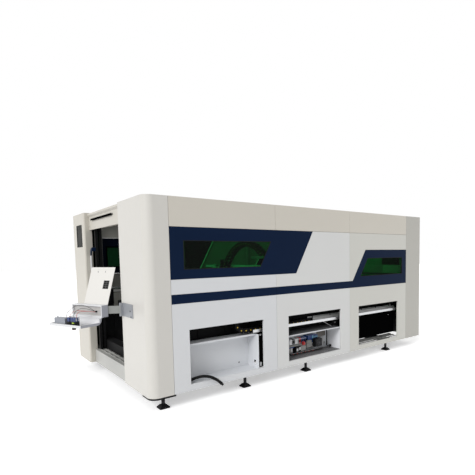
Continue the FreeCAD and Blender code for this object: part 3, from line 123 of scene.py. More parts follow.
def block(name, low, high, round_by):
    """A block between two corners, with rounded edges."""
    deselect()
    middle = [(a + b) / 2000 for a, b in zip(low, high)]
    bpy.ops.mesh.primitive_cube_add(size=1, location=middle)
    thing = placed(name, [(b - a) / 1000 for a, b in zip(low, high)])
    return round_sharp_edges(thing, round_by) if round_by else thing


def joined(things, name=None):
    """Several meshes as one piece, under the first one's name or another."""
    only(things[0])
    for thing in things:
        thing.select_set(True)
    bpy.ops.object.join()
    things[0].name = name or things[0].name
    return things[0]


def in_a_row(thing, count, step):
    """The same mesh repeated by a step in millimetres."""
    repeat = only(thing).modifiers.new("repeat", "ARRAY")
    repeat.use_relative_offset = False
    repeat.use_constant_offset = True
    repeat.constant_offset_displace = [s / 1000 for s in step]
    repeat.count = count
    bpy.ops.object.modifier_apply(modifier="repeat")
    return thing


def shown(name, data):
    """A new object in the scene."""
    thing = bpy.data.objects.new(name, data)
    bpy.context.collection.objects.link(thing)
    return thing


def twin_of(thing, name, place):
    """A second mesh of the same shape, moved and turned to its place."""
    twin = shown(name, thing.data.copy())
    twin.data.transform(place)
    return twin


def copy_at(thing, step):
    """A second mesh of the same shape, moved by a step in millimetres."""
    return twin_of(thing, thing.name, Matrix.Translation(Vector(step) / 1000))


def with_copies(thing, *steps):
    """A piece and copies of it, moved by steps in millimetres, as one piece."""
    return joined([thing, *(copy_at(thing, step) for step in steps)])


def coated(thing, material, seat, angle=35):
    """Puts a piece in its place in its mesh, and gives it its finish."""
    thing.data.transform(seat)
    only(thing)
    bpy.ops.object.shade_smooth_by_angle(angle=math.radians(angle))
    thing.data.materials.clear()
    thing.data.materials.append(material)
    return thing


def finish(thing, material, body="machine", seat=CABIN, angle=35):
    """Coats a piece in its place, evens its shading and gives it its body."""
    even = coated(thing, material, seat, angle).modifiers.new("even", "WEIGHTED_NORMAL")
    even.keep_sharp = True
    bpy.ops.object.modifier_apply(modifier="even")
    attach(thing, body)
    return thing


def repaint(thing, material, where, seat=CABIN):
    """Gives another finish to the faces that where picks by their middle, in
    millimetres from the seat, and by their normal."""
    thing.data.materials.append(material)
    back = seat.inverted()
    for face in thing.data.polygons:
        if where(back @ face.center * 1000, back.to_3x3() @ face.normal):
            face.material_index = len(thing.data.materials) - 1
    return thing


def merged_copy(node):
    """A copy of a CAD piece with its triangles merged to plain faces."""
    thing = twin_of(frame["nodes"][node], f"{node}_made", Matrix.Identity(4))
    edit(thing)
    bpy.ops.mesh.select_all(action="SELECT")
    bpy.ops.mesh.remove_doubles(threshold=0.00002)
    bpy.ops.mesh.dissolve_limited(angle_limit=math.radians(0.5))
    close()
    return thing


def looks_inside(middle, normal):
    """Whether a face of the cabin's skin looks to the middle of the machine."""
    half_long, half_deep, corner = 2370, 1265, 1270
    away = middle - Vector((half_long, half_deep, 0))
    # up to the corner a face counts as one of the ends, not of the front or the back
    if abs(away.x) / half_long > abs(away.y) / corner:
        return normal.x * away.x < -0.5 * abs(away.x)
    return normal.y * away.y < -0.5 * abs(away.y)


def refined(node, material, round_by=1.0, angle=35, inner=None, thing=None):
    """A merged copy of a CAD piece with its folds and rims rounded, shown for it. inner
    is the finish of its faces that look to the middle of the machine."""
    thing = thing or merged_copy(node)
    if round_by:
        round_sharp_edges(thing, round_by, sharpness=35)
    finish(thing, material, body_of_node[node], Matrix.Identity(4), angle)
    if inner is not None:
        repaint(thing, inner, looks_inside)
    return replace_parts(thing, node)


def set_inputs(node, values):
    """Gives a node's sockets their values by name."""
    for socket, value in values.items():
        node.inputs[socket].default_value = value


def new_finish(name):
    """A new material with its nodes, the call that links them, and its shader."""
    made = bpy.data.materials.new(name)
    made.use_nodes = True
    nodes = made.node_tree.nodes
    return made, nodes, made.node_tree.links.new, nodes["Principled BSDF"]


def math_node(nodes, operation, values=None):
    """A node that sums. values are the numbers of its numbered sockets."""
    node = nodes.new("ShaderNodeMath")
    node.operation = operation
    set_inputs(node, values or {})
    return node


def grain_group():
    """The small unevenness that every real surface has: slow clouds of colour and
    gloss, and a fine relief. Used by paint, metal, rubber and plastic alike."""
    group = bpy.data.node_groups.new("surface_grain", "ShaderNodeTree")
    for way, name, kind in (
        ("INPUT", "Color", "Color"), ("INPUT", "Cloud Scale", "Float"),
        ("INPUT", "Cloud Amount", "Float"), ("INPUT", "Fine Scale", "Float"),
        ("INPUT", "Roughness", "Float"), ("INPUT", "Gloss Spread", "Float"),
        ("INPUT", "Stretch", "Vector"), ("OUTPUT", "Color", "Color"),
        ("OUTPUT", "Roughness", "Float"), ("OUTPUT", "Height", "Float"),
    ):
        group.interface.new_socket(name=name, in_out=way, socket_type=f"NodeSocket{kind}")
    nodes, link = group.nodes, group.links.new
    given, out = nodes.new("NodeGroupInput"), nodes.new("NodeGroupOutput")
    place = nodes.new("ShaderNodeTexCoord")
    stretched = nodes.new("ShaderNodeVectorMath")
    stretched.operation = "MULTIPLY"
    link(place.outputs["Object"], stretched.inputs[0])
    link(given.outputs["Stretch"], stretched.inputs[1])
    cloud, fine = nodes.new("ShaderNodeTexNoise"), nodes.new("ShaderNodeTexNoise")
    cloud.inputs["Detail"].default_value = 4
    fine.inputs["Detail"].default_value = 2
    for noise, scale in ((cloud, "Cloud Scale"), (fine, "Fine Scale")):
        link(stretched.outputs[0], noise.inputs["Vector"])
        link(given.outputs[scale], noise.inputs["Scale"])
    # a swing about nought, so that the colour and the gloss keep their mean
    swing = math_node(nodes, "SUBTRACT", {1: 0.5})
    link(cloud.outputs["Fac"], swing.inputs[0])
    shade = math_node(nodes, "MULTIPLY_ADD", {2: 1.0})
    link(swing.outputs[0], shade.inputs[0])
    link(given.outputs["Cloud Amount"], shade.inputs[1])
    tint = nodes.new("ShaderNodeHueSaturation")
    link(shade.outputs[0], tint.inputs["Value"])
    link(given.outputs["Color"], tint.inputs["Color"])
    gloss = math_node(nodes, "MULTIPLY_ADD")
    link(swing.outputs[0], gloss.inputs[0])
    link(given.outputs["Gloss Spread"], gloss.inputs[1])
    link(given.outputs["Roughness"], gloss.inputs[2])
    link(tint.outputs["Color"], out.inputs["Color"])
    link(gloss.outputs[0], out.inputs["Roughness"])
    link(fine.outputs["Fac"], out.inputs["Height"])
    return group


surface_grain = grain_group()


def surface(name, color, roughness=0.4, metal=0.0, clouds=(2.0, 0.06), fine=(300.0, 0.1),
            spread=0.12, stretch=(1, 1, 1), coat=0.0, shine=0.5):
    """A solid finish. clouds is the scale and amount of its slow unevenness, fine the
    scale and depth in millimetres of its relief."""
    made, nodes, link, shader = new_finish(name)
    grain = nodes.new("ShaderNodeGroup")
    grain.node_tree = surface_grain
    set_inputs(grain, {
        "Color": (*color, 1), "Cloud Scale": clouds[0], "Cloud Amount": clouds[1],
        "Fine Scale": fine[0], "Roughness": roughness, "Gloss Spread": spread,
        "Stretch": stretch,
    })
    set_inputs(shader, {"Metallic": metal, "Coat Weight": coat, "Specular IOR Level": shine})
    relief = nodes.new("ShaderNodeBump")
    set_inputs(relief, {"Strength": 0.6, "Distance": fine[1] / 1000})
    link(grain.outputs["Color"], shader.inputs["Base Color"])
    link(grain.outputs["Roughness"], shader.inputs["Roughness"])
    link(grain.outputs["Height"], relief.inputs["Height"])
    link(relief.outputs["Normal"], shader.inputs["Normal"])
    return made


bed_paint = surface("dark_machine_paint", (0.010, 0.010, 0.0105), 0.55, fine=(220, 0.15),
                    shine=0.06)
refined("bed_sides", bed_paint, 3)
members = refined("bed_cross_members", bed_paint, 3)
strip_grey = surface("floor_strip_grey", (0.26, 0.26, 0.25), 0.45, 0.3, clouds=(8, 0.3))
repaint(members, strip_grey, lambda p, n: 3040 < p.x < 4210 and 68 < p.y < 232 and p.z > 60)

beam_gap = 1790  # from the near beam's guide to the far beam's
rib = in_a_row(block("bed_ribs", (330, 300, 90), (340, 310, 930), 1), 12, (360, 0, 0))
finish(with_copies(rib, (0, 130, 0), (0, beam_gap, 0)), bed_paint)

# -------- X guides and racks
# Hardened profile rails, screwed down every 120 mm with sunk cap screws, and a
# straight-toothed rack beside each; ground steel, lightly oiled.

def round_bar(name, start, radius, length, axis="Z", sides=24, round_by=0.8):
    """A turned bar from its start along an axis, with rounded rims."""
    deselect()
    turn = {"X": (0, math.pi / 2, 0), "Y": (-math.pi / 2, 0, 0), "Z": (0, 0, 0)}[axis]
    middle = list(start)
    middle["XYZ".index(axis)] += length / 2
    bpy.ops.mesh.primitive_cylinder_add(
        vertices=sides, radius=radius / 1000, depth=length / 1000,
        location=[m / 1000 for m in middle], rotation=turn,
    )
    return round_sharp_edges(placed(name), round_by)


def pick(thing, kind, where):
    """Opens a piece in edit mode with some of its faces or edges picked. where gets a
    face, or the line from one end of an edge to the other."""
    edit(thing)
    bpy.ops.mesh.select_mode(type=kind)
    bpy.ops.mesh.select_all(action="DESELECT")
    close()
    if kind == "FACE":
        for face in thing.data.polygons:
            face.select = where(face)
    else:
        for edge in thing.data.edges:
            a, b = (thing.data.vertices[k].co for k in edge.vertices)
            edge.select = where(b - a)
    edit(thing)


bright_steel = surface("ground_steel", (0.60, 0.60, 0.61), 0.28, 1.0, fine=(500, 0.02),
                       stretch=(0.05, 1, 1))
refined("x_guideways", bright_steel, 0.8)
screw = round_bar("guide_screws", (260, 370, 989.1), 7, 1.0, sides=12, round_by=0.2)
pick(screw, "FACE", lambda face: face.normal.z > 0.9)
bpy.ops.mesh.inset(thickness=0.0028, depth=-0.0008)
close()
finish(with_copies(in_a_row(screw, 36, (120, 0, 0)), (0, beam_gap, 0)), bright_steel)

# a tooth narrows to its crest on both flanks
tooth = block("rack_teeth", (212, 406, 984), (217, 426, 988), 0)
tooth_middle, flank = 0.2145, 0.0014
for vertex in tooth.data.vertices:
    if vertex.co.z > 0.986:
        vertex.co.x += flank if vertex.co.x < tooth_middle else -flank
finish(with_copies(in_a_row(tooth, 430, (10, 0, 0)), (0, 1698, 0)), bright_steel)

# -------- slat table
# Upright steel slats with cut points along the top, dropped in notched combs. They
# are mill steel, blued and spattered by the cutting.

burnt_steel = surface("burnt_slat_steel", (0.07, 0.062, 0.055), 0.6, 0.7, clouds=(9, 0.8),
                      fine=(150, 0.4), spread=0.35)
refined("slats", burnt_steel, 0.4)
refined("slat_frame", bed_paint, 0.8)

# -------- cabin frame
# Square steel tube, welded and painted light grey, that carries the panels. Gusset
# plates are screwed across its upper corners.

frame_paint = surface("cabin_frame_paint", (0.16, 0.16, 0.155), 0.5, shine=0.2)
refined("top_frame", frame_paint, 4)
seam_step, right_post, back_post = 1344, 2767, 2406  # steps from the first gusset
gusset = block("frame_gussets", (1564, 60, 1790), (1644, 64, 1950), 1)
corners = [(x, y, 0) for y in (0, back_post) for x in (0, seam_step, right_post)]
finish(with_copies(gusset, *corners[1:]), frame_paint)

# -------- levelling feet
# Square cast pads with a sloped top, painted black, on threaded stems with a thin
# lock nut under each cross member.

def round_ring(name, middle, radius, bar, turns, sides, upright=False):
    """A ring of round bar about its middle, lying flat or upright across Y. bar is
    half the bar's thickness, turns and sides say how finely both are divided."""
    deselect()
    bpy.ops.mesh.primitive_torus_add(
        major_radius=radius / 1000, minor_radius=bar / 1000, major_segments=turns,
        minor_segments=sides, location=[m / 1000 for m in middle],
        rotation=(math.pi / 2 if upright else 0, 0, 0))
    return placed(name)


def copies(thing, places):
    """Copies of a pattern at places in millimetres from its own, without the pattern."""
    made = [copy_at(thing, place) for place in places]
    bpy.data.objects.remove(thing)
    return made


black_paint = surface("black_paint", (0.006, 0.006, 0.0065), 0.42, fine=(260, 0.1), shine=0.12)
dark_steel = surface("blackened_steel", (0.07, 0.07, 0.075), 0.4, 0.8)
refined("levelling_feet", black_paint, 1.5, 30)
foot_places = [(x, 105, 0) for x in (168, 1186, 2171, 3930)]
foot_places += [(x, 2425, 0) for x in (250, 1186, 2171, 3930)]
thread = in_a_row(round_ring("foot_threads", (0, 0, -94), 17.5, 1.2, 24, 6), 30, (0, 0, 3))
nut = round_bar("foot_nuts", (0, 0, -15), 27, 14, sides=6, round_by=1.5)
finish(joined(copies(thread, foot_places), "foot_threads"), dark_steel)
finish(joined(copies(nut, foot_places), "foot_nuts.001"), dark_steel)

# -------- cabin panels
# Folded sheet steel trays and columns, powder coated: the front trays in one white,
# painted lighter and bluer on the left and darker and warmer on the right as painted
# light and shade, under cream fascias, the left end in cream, the right columns in
# light grey.

def powder_coat(name, color, roughness=0.38):
    """Baked powder paint, a little uneven over each panel."""
    return surface(name, color, roughness, clouds=(1.2, 0.05))


def with_row(thing, item, count, step):
    """A piece and a row of one small item on it, as one piece."""
    return joined([thing, in_a_row(item, count, step)])


lower_white = powder_coat("cool_white_powder_coat", (0.62, 0.623, 0.615))
upper_white = powder_coat("warm_white_powder_coat", (0.56, 0.53, 0.47))
cream = powder_coat("cream_powder_coat", (0.58, 0.565, 0.53), 0.36)
lintel_cream = powder_coat("lintel_powder_coat", (0.52, 0.495, 0.44), 0.4)
side_grey = powder_coat("light_grey_powder_coat", (0.43, 0.42, 0.385))
# the front's left tray is painted lighter and bluer as painted light, its right tray darker and
# warmer as painted shade
left_white_painted_light = powder_coat("front_left_white_painted_light", (0.623, 0.633, 0.648))
right_white_painted_shade = powder_coat("front_right_white_painted_shade", (0.56, 0.555, 0.515))
# faces that look into the cabin are painted dark, or grey at the back and the right end, as the
# painted shade inside it
dark_inner_shade = surface("dark_inner_painted_shade", (0.030, 0.029, 0.026), 0.55, clouds=(3, 0.2), shine=0.1)
grey_inner_shade = surface("grey_inner_painted_shade", (0.26, 0.255, 0.23), 0.5, clouds=(3, 0.2), shine=0.2)
rail_cover = surface("rail_cover_grey", (0.42, 0.42, 0.40), 0.45, clouds=(3, 0.2))
refined("front_corner_column", cream, 0.8, 25)
refined("cabinet_column", lintel_cream, 0.8, inner=dark_inner_shade)
for node, outside, inside in (
    ("front_panel_left", left_white_painted_light, dark_inner_shade),
    ("front_panel_middle", lower_white, dark_inner_shade),
    ("front_panel_right", right_white_painted_shade, dark_inner_shade),
    ("back_panels", lower_white, grey_inner_shade),
    ("front_fascias", upper_white, dark_inner_shade),
    ("right_front_column", side_grey, dark_inner_shade),
    ("right_end_panels", side_grey, grey_inner_shade),
):
    refined(node, outside, 1.2, inner=inside)
refined("corner_base_plate", black_paint, 1)
# the far bed guard is in the grey painted shade of the inside
guard = block("far_bed_guard", (330, 2085.5, 700), (4380, 2089, 916), 1)
guard_screw = round_bar("screw", (420, 2082.5, 720), 7, 4, "Y", 12, 0.8)
finish(with_row(guard, guard_screw, 12, (350, 0, 0)), grey_inner_shade)
finish(block("far_rail_cover", (330, 2083, 924), (4380, 2088, 958), 2), rail_cover)

# inside the right end: a pale service box, and a vent above it and a rail beside it,
# both dark in the painted shade of the inside
service_box = block("end_service_box", (4660, 322, 1036), (4727, 688, 1198), 4)
service_lid = block("lid", (4656, 340, 1052), (4660, 670, 1182), 1.5)
finish(joined([service_box, service_lid]), upper_white)
vent = block("end_vent", (4695, 396, 1206), (4727, 740, 1420), 3)
vent_slat = block("slat", (4690, 408, 1218), (4695, 728, 1226), 1)
finish(with_row(vent, vent_slat, 12, (0, 0, 16.5)), dark_inner_shade)
rail = block("end_rail", (4632, 372, 1028), (4650, 1170, 1060), 3)
rail_arm = block("arm", (4648, 712, 1036), (4727, 736, 1052), 1)
finish(with_row(rail, rail_arm, 2, (0, 410, 0)), dark_inner_shade)

# quarter-turn locks down the back and right end panels
lock = round_bar("panel_locks", (0, 0, 0), 15, 5, "Y", 28, 1.2)
lock = joined([lock, block("slot", (-9, 5, -1.6), (9, 6, 1.6), 0.4)])
back_columns, end_columns = (330, 1525, 1685, 2870, 3030, 4250), (360, 1210, 1320, 2170)
back_locks = [copy_at(lock, (x, 2530, z)) for x in back_columns for z in (160, 860)]
lock.data.transform(turned(-90, "Z"))
end_locks = copies(lock, [(4730, y, z) for y in end_columns for z in (160, 1010, 1860)])
finish(joined(back_locks + end_locks, "panel_locks"), black_paint)

# -------- window plates and glass
# Flush steel plates painted dark navy, the belt in the same paint, and laser filter
# glass behind them in a black rubber channel. The far left column has an opaque pane,
# near black as the painted shade behind it, with upright ribs.

navy = surface("dark_navy_paint", (0.0042, 0.0120, 0.036), 0.38, clouds=(1.5, 0.15), shine=0.04)
refined("window_frame_left", navy, 0.7)
refined("window_frame_right", navy, 0.7)
back_frames = refined("back_window_frames", navy, 0.7)
navy_shade_and_joints = surface("dark_navy_shade_and_joints", (0.0012, 0.0030, 0.0090), 0.5, fine=(300, 0.05),
                      shine=0.03)
# the back frames' faces that look into the cabin are a darker navy, as painted shade
repaint(back_frames, navy_shade_and_joints, lambda p, n: n.y < -0.5)
refined("belt_stripes", navy, 0.4)
belt_joint = block("belt_joints", (1602.6, -0.8, 922), (1605.4, 3, 1019), 0.3)
finish(with_copies(belt_joint, (seam_step, 0, 0)), navy_shade_and_joints)


def filter_glass(name, color, bend=1.15):
    """Tinted glass with faint smears in its gloss."""
    made, nodes, link, shader = new_finish(name)
    set_inputs(shader, {"Transmission Weight": 1.0, "IOR": bend})
    place, smear = nodes.new("ShaderNodeTexCoord"), nodes.new("ShaderNodeTexNoise")
    set_inputs(smear, {"Scale": 3.0, "Detail": 5.0})
    spread = nodes.new("ShaderNodeMapRange")
    set_inputs(spread, {"To Min": 0.012, "To Max": 0.048})
    tone = nodes.new("ShaderNodeMix")
    tone.data_type = "RGBA"
    tone.inputs["A"].default_value = (*color, 1)
    tone.inputs["B"].default_value = (*[c * 1.2 for c in color], 1)
    link(place.outputs["Object"], smear.inputs["Vector"])
    link(smear.outputs["Fac"], spread.inputs["Value"])
    link(smear.outputs["Fac"], tone.inputs["Factor"])
    link(spread.outputs["Result"], shader.inputs["Roughness"])
    link(tone.outputs["Result"], shader.inputs["Base Color"])
    return made


green_glass = filter_glass("green_filter_glass", (0.010, 0.19, 0.040))
back_glass_painted_shade = filter_glass("back_filter_glass_painted_shade", (0.002, 0.010, 0.004))
right_glass = filter_glass("right_filter_glass", (0.008, 0.17, 0.032), bend=1.07)
panes = refined("window_glass", green_glass, 0.5)
# the back panes, seen across the cabin, are tinted darker as painted shade
repaint(panes, back_glass_painted_shade, lambda p, n: p.y > 2400)
repaint(panes, right_glass, lambda p, n: p.x > 3000 and p.y < 100)
# the far left column's pane is opaque and near black, as the painted shade behind it
cabinet_pane_shade = surface("cabinet_pane_painted_shade", (0.012, 0.012, 0.011), 0.45, fine=(300, 0.02), shine=0.04)
repaint(panes, cabinet_pane_shade, lambda p, n: p.x < 0)
rubber = surface("black_rubber", (0.006, 0.006, 0.006), 0.65, fine=(150, 0.2), shine=0.15)
pane_rib = block("cabinet_window_ribs", (-47, 2128, 1556), (-45, 2140, 1849), 0.8)
pane_rib_grey = surface("window_rib_grey", (0.10, 0.10, 0.095), 0.5, fine=(300, 0.05), shine=0.1)
finish(in_a_row(pane_rib, 4, (0, 44, 0)), pane_rib_grey)


def seal(name, corners, width, depth):
    """A rubber channel round a window: a flat ring inside the given corners, thickened."""
    deselect()
    bpy.ops.mesh.primitive_plane_add(size=1)
    thing = bpy.context.object
    way_round = (0, 1, 3, 2)  # a new plane's corners in the order that goes round it
    for index, corner in zip(way_round, corners):
        thing.data.vertices[index].co = Vector(corner) / 1000
    edit(thing)
    bpy.ops.mesh.select_mode(type="FACE")
    bpy.ops.mesh.select_all(action="SELECT")
    bpy.ops.mesh.inset(thickness=width / 1000)
    bpy.ops.mesh.delete(type="FACE")
    bpy.ops.mesh.select_all(action="SELECT")
    bpy.ops.mesh.normals_make_consistent(inside=False)
    close()
    wall = thing.modifiers.new("wall", "SOLIDIFY")
    wall.thickness = depth / 1000
    wall.offset = 0
    bpy.ops.object.modifier_apply(modifier="wall")
    thing.name = name
    return round_sharp_edges(thing, 0.8)


left_hole = [(397, 1268), (1372, 1268), (1535, 1565), (397, 1565)]
right_hole = [(3175, 1076), (4217, 1076), (4217, 1341), (3345, 1341)]
column_hole = [(-47, 2070, 1555), (-47, 2350, 1555), (-47, 2350, 1850), (-47, 2070, 1850)]
front, back = 0.5, 2529.5
seals = [seal("window_seals", [(x, y, z) for x, z in hole], 7, 5)
         for y in (front, back) for hole in (left_hole, right_hole)]
seals.append(seal("window_seals", column_hole, 7, 5))
finish(joined(seals, "window_seals"), rubber)

# -------- doorway
# A lintel with a rounded lip and a slot backed by a black strip, the leaves' top
# track, and the sill with two runners of plastic.

black_plastic = surface("black_moulded_plastic", (0.007, 0.007, 0.0075), 0.5, fine=(400, 0.15),
                        shine=0.2)
# the lintel's faces that look into the cabin take the dark painted shade
refined("door_lintel", lintel_cream, 1.0, inner=dark_inner_shade)
refined("lintel_strip", black_plastic, 1)
# near black with no shine: the painted shade in the lintel's slot and the first bay's slot
shadow_black = surface("near_black_painted_shade", (0.0020, 0.0020, 0.0021), 0.7, fine=(200, 0.1),
                       shine=0.0)
slot_shade_strip = block("lintel_slot_shade", (-0.6, 972, 1887), (4, 1818, 1909), 0)
pick(slot_shade_strip, "EDGE", lambda line: abs(line.x) > 0.004)
bpy.ops.mesh.bevel(offset=0.0105, segments=6, affect="EDGES")
close()
finish(slot_shade_strip, shadow_black)
# the sill is painted a plain grey, darker than the cabin's whites
sill_grey = surface("grey_sill_powder_coat", (0.40, 0.40, 0.38), clouds=(6, 0.2))
refined("door_sill", sill_grey, 1.0)
pads = in_a_row(block("sill_pads", (74, 790, 181), (82, 900, 183.6), 1), 6, (0, 200, 0))
finish(with_copies(pads, (49, 0, 0)), black_plastic)

# -------- door leaves
# Black painted steel profile round a pane of green filter glass. The outer leaf
# carries a long white grip on two lugs.

for node in ("door_frame_outer", "door_frame_inner"):
    refined(node, black_paint, 2)
door_glass = filter_glass("green_door_glass", (0.02, 0.10, 0.03))
refined("door_pane_outer", door_glass, 0.5)
refined("door_pane_inner", door_glass, 0.5)
grip_white = surface("white_moulded_grip", (0.70, 0.70, 0.71), 0.35)
refined("door_handle", grip_white, 2.5)
refined("handle_bracket", navy, 1.5)
low, high = 222, 1777
for body, x, near, far in (("door_outer", 72, 1900, 2464), ("door_inner", 122, 1910, 2474)):
    opening = [(x, near, low), (x, far, low), (x, far, high), (x, near, high)]
    finish(seal(f"{body}_bead", opening, 8, 6), rubber, body)

# -------- gantry
# A welded box beam, painted white, on two trucks that ride on the X guides, with a
# servo motor and gearbox on each.

beam_white = surface("gantry_white_paint", (0.62, 0.63, 0.64))
refined("gantry_beam", beam_white, 4)
refined("gantry_trucks", bed_paint, 1.5)
refined("x_motors", black_paint, 2, 30)
refined("y_rails", bright_steel, 0.8)
refined("y_motor", black_paint, 2, 30)

# -------- carriage and cutting head
# A machined aluminium saddle, the head's slide plate, and a turned head of anodised
# aluminium with dark rings over a brass nozzle.

milled = surface("milled_aluminium", (0.72, 0.73, 0.74), 0.33, 1.0, fine=(700, 0.02))
refined("carriage", milled, 1.2)
refined("head_plate", milled, 1.0)
refined("cutting_head", milled, 0.8, 30)
brass = surface("turned_brass", (0.72, 0.45, 0.18), 0.25, 1.0, fine=(900, 0.02))
refined("nozzle", brass, 0, 30)
ring = round_bar("head_rings", (1734, 1665, 1060), 38, 12, sides=40)
finish(with_copies(ring, (0, 0, 150)), black_plastic, "head")

# -------- long energy chain
# Moulded black links, each with a yellow snap dot on its cheek, lying in a zinc
# plated tray and rolling back over themselves to the gantry's arm.

def scored(thing, planes):
    """Cuts a piece's faces along planes, each a point and its normal, and keeps all."""
    edit(thing)
    for point, normal in planes:
        bpy.ops.mesh.select_all(action="SELECT")
        bpy.ops.mesh.bisect(plane_co=point, plane_no=normal)
    close()
    return thing


zinc = surface("zinc_sheet", (0.62, 0.63, 0.64), 0.35, 0.9, clouds=(14, 0.25), fine=(200, 0.05))
chain_black_and_tray_shade = surface("black_chain_nylon_and_tray_shade", (0.0035, 0.0035, 0.0037), 0.5, fine=(400, 0.1),
                      shine=0.08)
yellow = surface("yellow_plastic", (0.75, 0.50, 0.03))
# beyond pale_from the tray's near wall and its backing are pale, under a top in the
# chain's black as painted shade; before it the tray, but for its front edge, is in the
# same painted shade
pale_from, dark_top = 2400, 538
long_tray = scored(merged_copy("x_chain_tray"), (
    (CABIN @ Vector((pale_from / 1000, 0, 0)), (1, 0, 0)),
    (CABIN @ Vector((0, 0, dark_top / 1000)), (0, 0, 1)),
))
refined("x_chain_tray", zinc, 1.0, thing=long_tray)
tray_white = surface("white_tray_lining", (0.84, 0.84, 0.83), clouds=(6, 0.1))
tray_grey = surface("grey_tray_backing", (0.78, 0.79, 0.78), clouds=(6, 0.2))
for material, where in (
    (tray_white, lambda p, n: p.x > pale_from and 196 < p.y < 198 and n.y < -0.5),
    (tray_grey, lambda p, n: p.x > pale_from and p.y > 300),
    (chain_black_and_tray_shade, lambda p, n: p.x > pale_from and p.y > 300 and p.z > dark_top),
    (chain_black_and_tray_shade, lambda p, n: p.x < pale_from and p.y > 190),
):
    repaint(long_tray, material, where)
finish(block("tray_backing_end", (4300, 298, 493), (4350, 304, 554), 1), tray_grey)
tray_end = block("chain_tray_end", (1286, 58, 494), (1345, 61, 526), 0.8)
tray_foot = block("foot", (1286, 58, 491), (1345, 120, 494), 0.8)
finish(joined([tray_end, tray_foot]), zinc)
refined("y_chain_tray", zinc, 1.0)


def chain_link(tall, wide, pitch):
    """One open link at the origin, along X: two panelled cheeks and two cross bars."""
    wall, bar, half_bar = 7, 6, 9
    cheek = block("link", (-pitch / 2, -wide / 2, -tall / 2),
                  (pitch / 2, wall - wide / 2, tall / 2), 0)
    pick(cheek, "EDGE", lambda line: abs(line.y) > 0.004)
    bpy.ops.mesh.bevel(offset=tall / 4000, segments=2, affect="EDGES")
    close()
    pick(cheek, "FACE", lambda face: abs(face.normal.y) > 0.9)
    bpy.ops.mesh.inset(thickness=0.005, depth=-0.0012, use_individual=True)
    close()
    other = copy_at(cheek, (0, wide - wall, 0))
    bars = [
        block("bar", (-half_bar, bar - wide / 2, low), (half_bar, wide / 2 - bar, low + bar), 1)
        for low in (tall / 2 - wall, 1 - tall / 2)
    ]
    return joined([cheek, other, *bars])


def chain_dot(wide):
    """The snap dots of one link."""
    return with_copies(round_bar("dot", (0, -wide / 2 - 1, 0), 7, 2, "Y", 12, 0.4), (0, wide, 0))


def follow(distance, x, z, angle, segments):
    """The point and heading at a distance along straight and curved segments."""
    for stretch, turn in segments:
        step = min(distance, stretch)
        if turn:
            radius = stretch / math.radians(abs(turn))
            way = 1 if turn > 0 else -1
            middle = (x - way * radius * math.sin(math.radians(angle)),
                      z + way * radius * math.cos(math.radians(angle)))
            angle += way * math.degrees(step / radius)
            x = middle[0] + way * radius * math.sin(math.radians(angle))
            z = middle[1] - way * radius * math.cos(math.radians(angle))
        else:
            x += step * math.cos(math.radians(angle))
            z += step * math.sin(math.radians(angle))
        distance -= step
    return x, z, angle


def hung_chain(name, link, dot, places):
    """Gives in turn the links and the dots at each place, each as one piece."""
    for kind, pattern, material in (("links", link, chain_black_and_tray_shade), ("dots", dot, yellow)):
        piece = joined([twin_of(pattern, kind, place) for place in places], f"{name}_{kind}")
        yield coated(piece, material, CABIN)


long_pitch, turn_start, turn_radius, lower_level = 68, 1070, 100, 522
turn_length = math.pi * turn_radius
long_run = [(turn_start, 0), (turn_length, -180), (820, 0)]
places = []
for k in range(32):
    distance = 21 + long_pitch * k
    x, z, angle = follow(distance, 2250, lower_level, 180, long_run)
    places.append((distance, Matrix.Translation((x / 1000, 0.14, z / 1000)) @ turned(-angle, "Y")))
turn_end = turn_start + turn_length
link, dot = chain_link(56, 96, long_pitch), chain_dot(96)
# the links split by their distance along the chain into the lower run, the bend and the
# upper run; a start and an end point are worked out for each
for part, first, last, *ends in (
    ("lower", 0, turn_start, (2250, 140, 522), (110, 140, 522)),
    ("bend", turn_start, turn_end, (1100, -9860, 622), (1100, 10140, 622)),
    ("upper", turn_end, math.inf, (360, 140, 722), (2000, 140, 722)),
):
    run = [place for distance, place in places if first <= distance < last]
    start, end = (CABIN @ (Vector(point) / 1000) for point in ends)
    for piece in hung_chain(f"long_chain_{part}", link, dot, run):
        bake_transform(piece)
        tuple(start)
        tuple(end)
        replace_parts(piece, "x_chain")

# -------- short energy chain
# The same kind of chain, taller, from its tray on the gantry up in a hump and down
# to the lug on the carriage.

short_pitch = 60
short_run = [(90, 0), (math.radians(38) * 250, 38), (math.radians(38) * 550, -38),
             (math.radians(56) * 600, -56), (140, 0)]
total = sum(stretch for stretch, _ in short_run)
places = []
for k in range(int(total / short_pitch)):
    y, z, angle = follow((k + 0.5) * short_pitch, 330, 1400, 0, short_run)
    places.append(Matrix.Translation((1.814, y / 1000, z / 1000))
                  @ turned(90, "Z") @ turned(-angle, "Y"))
tall_link, wide_dot = chain_link(72, 90, short_pitch), chain_dot(90)
start, end = CABIN @ Vector((1.8, 0.33, 1.4)), CABIN @ Vector((1.8, 1.488, 1.4))
for piece in hung_chain("short_chain", tall_link, wide_dot, places):
    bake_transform(piece)
    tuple(start)
    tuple(end)
    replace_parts(piece, "y_chain")
for spare in (link, dot, tall_link, wide_dot):
    bpy.data.objects.remove(spare)

# -------- first service bay
# A recess of folded white sheet with two small round holes, and beside it a cover over
# the slot, near black as the slot's painted shade, held by two small zinc clips.

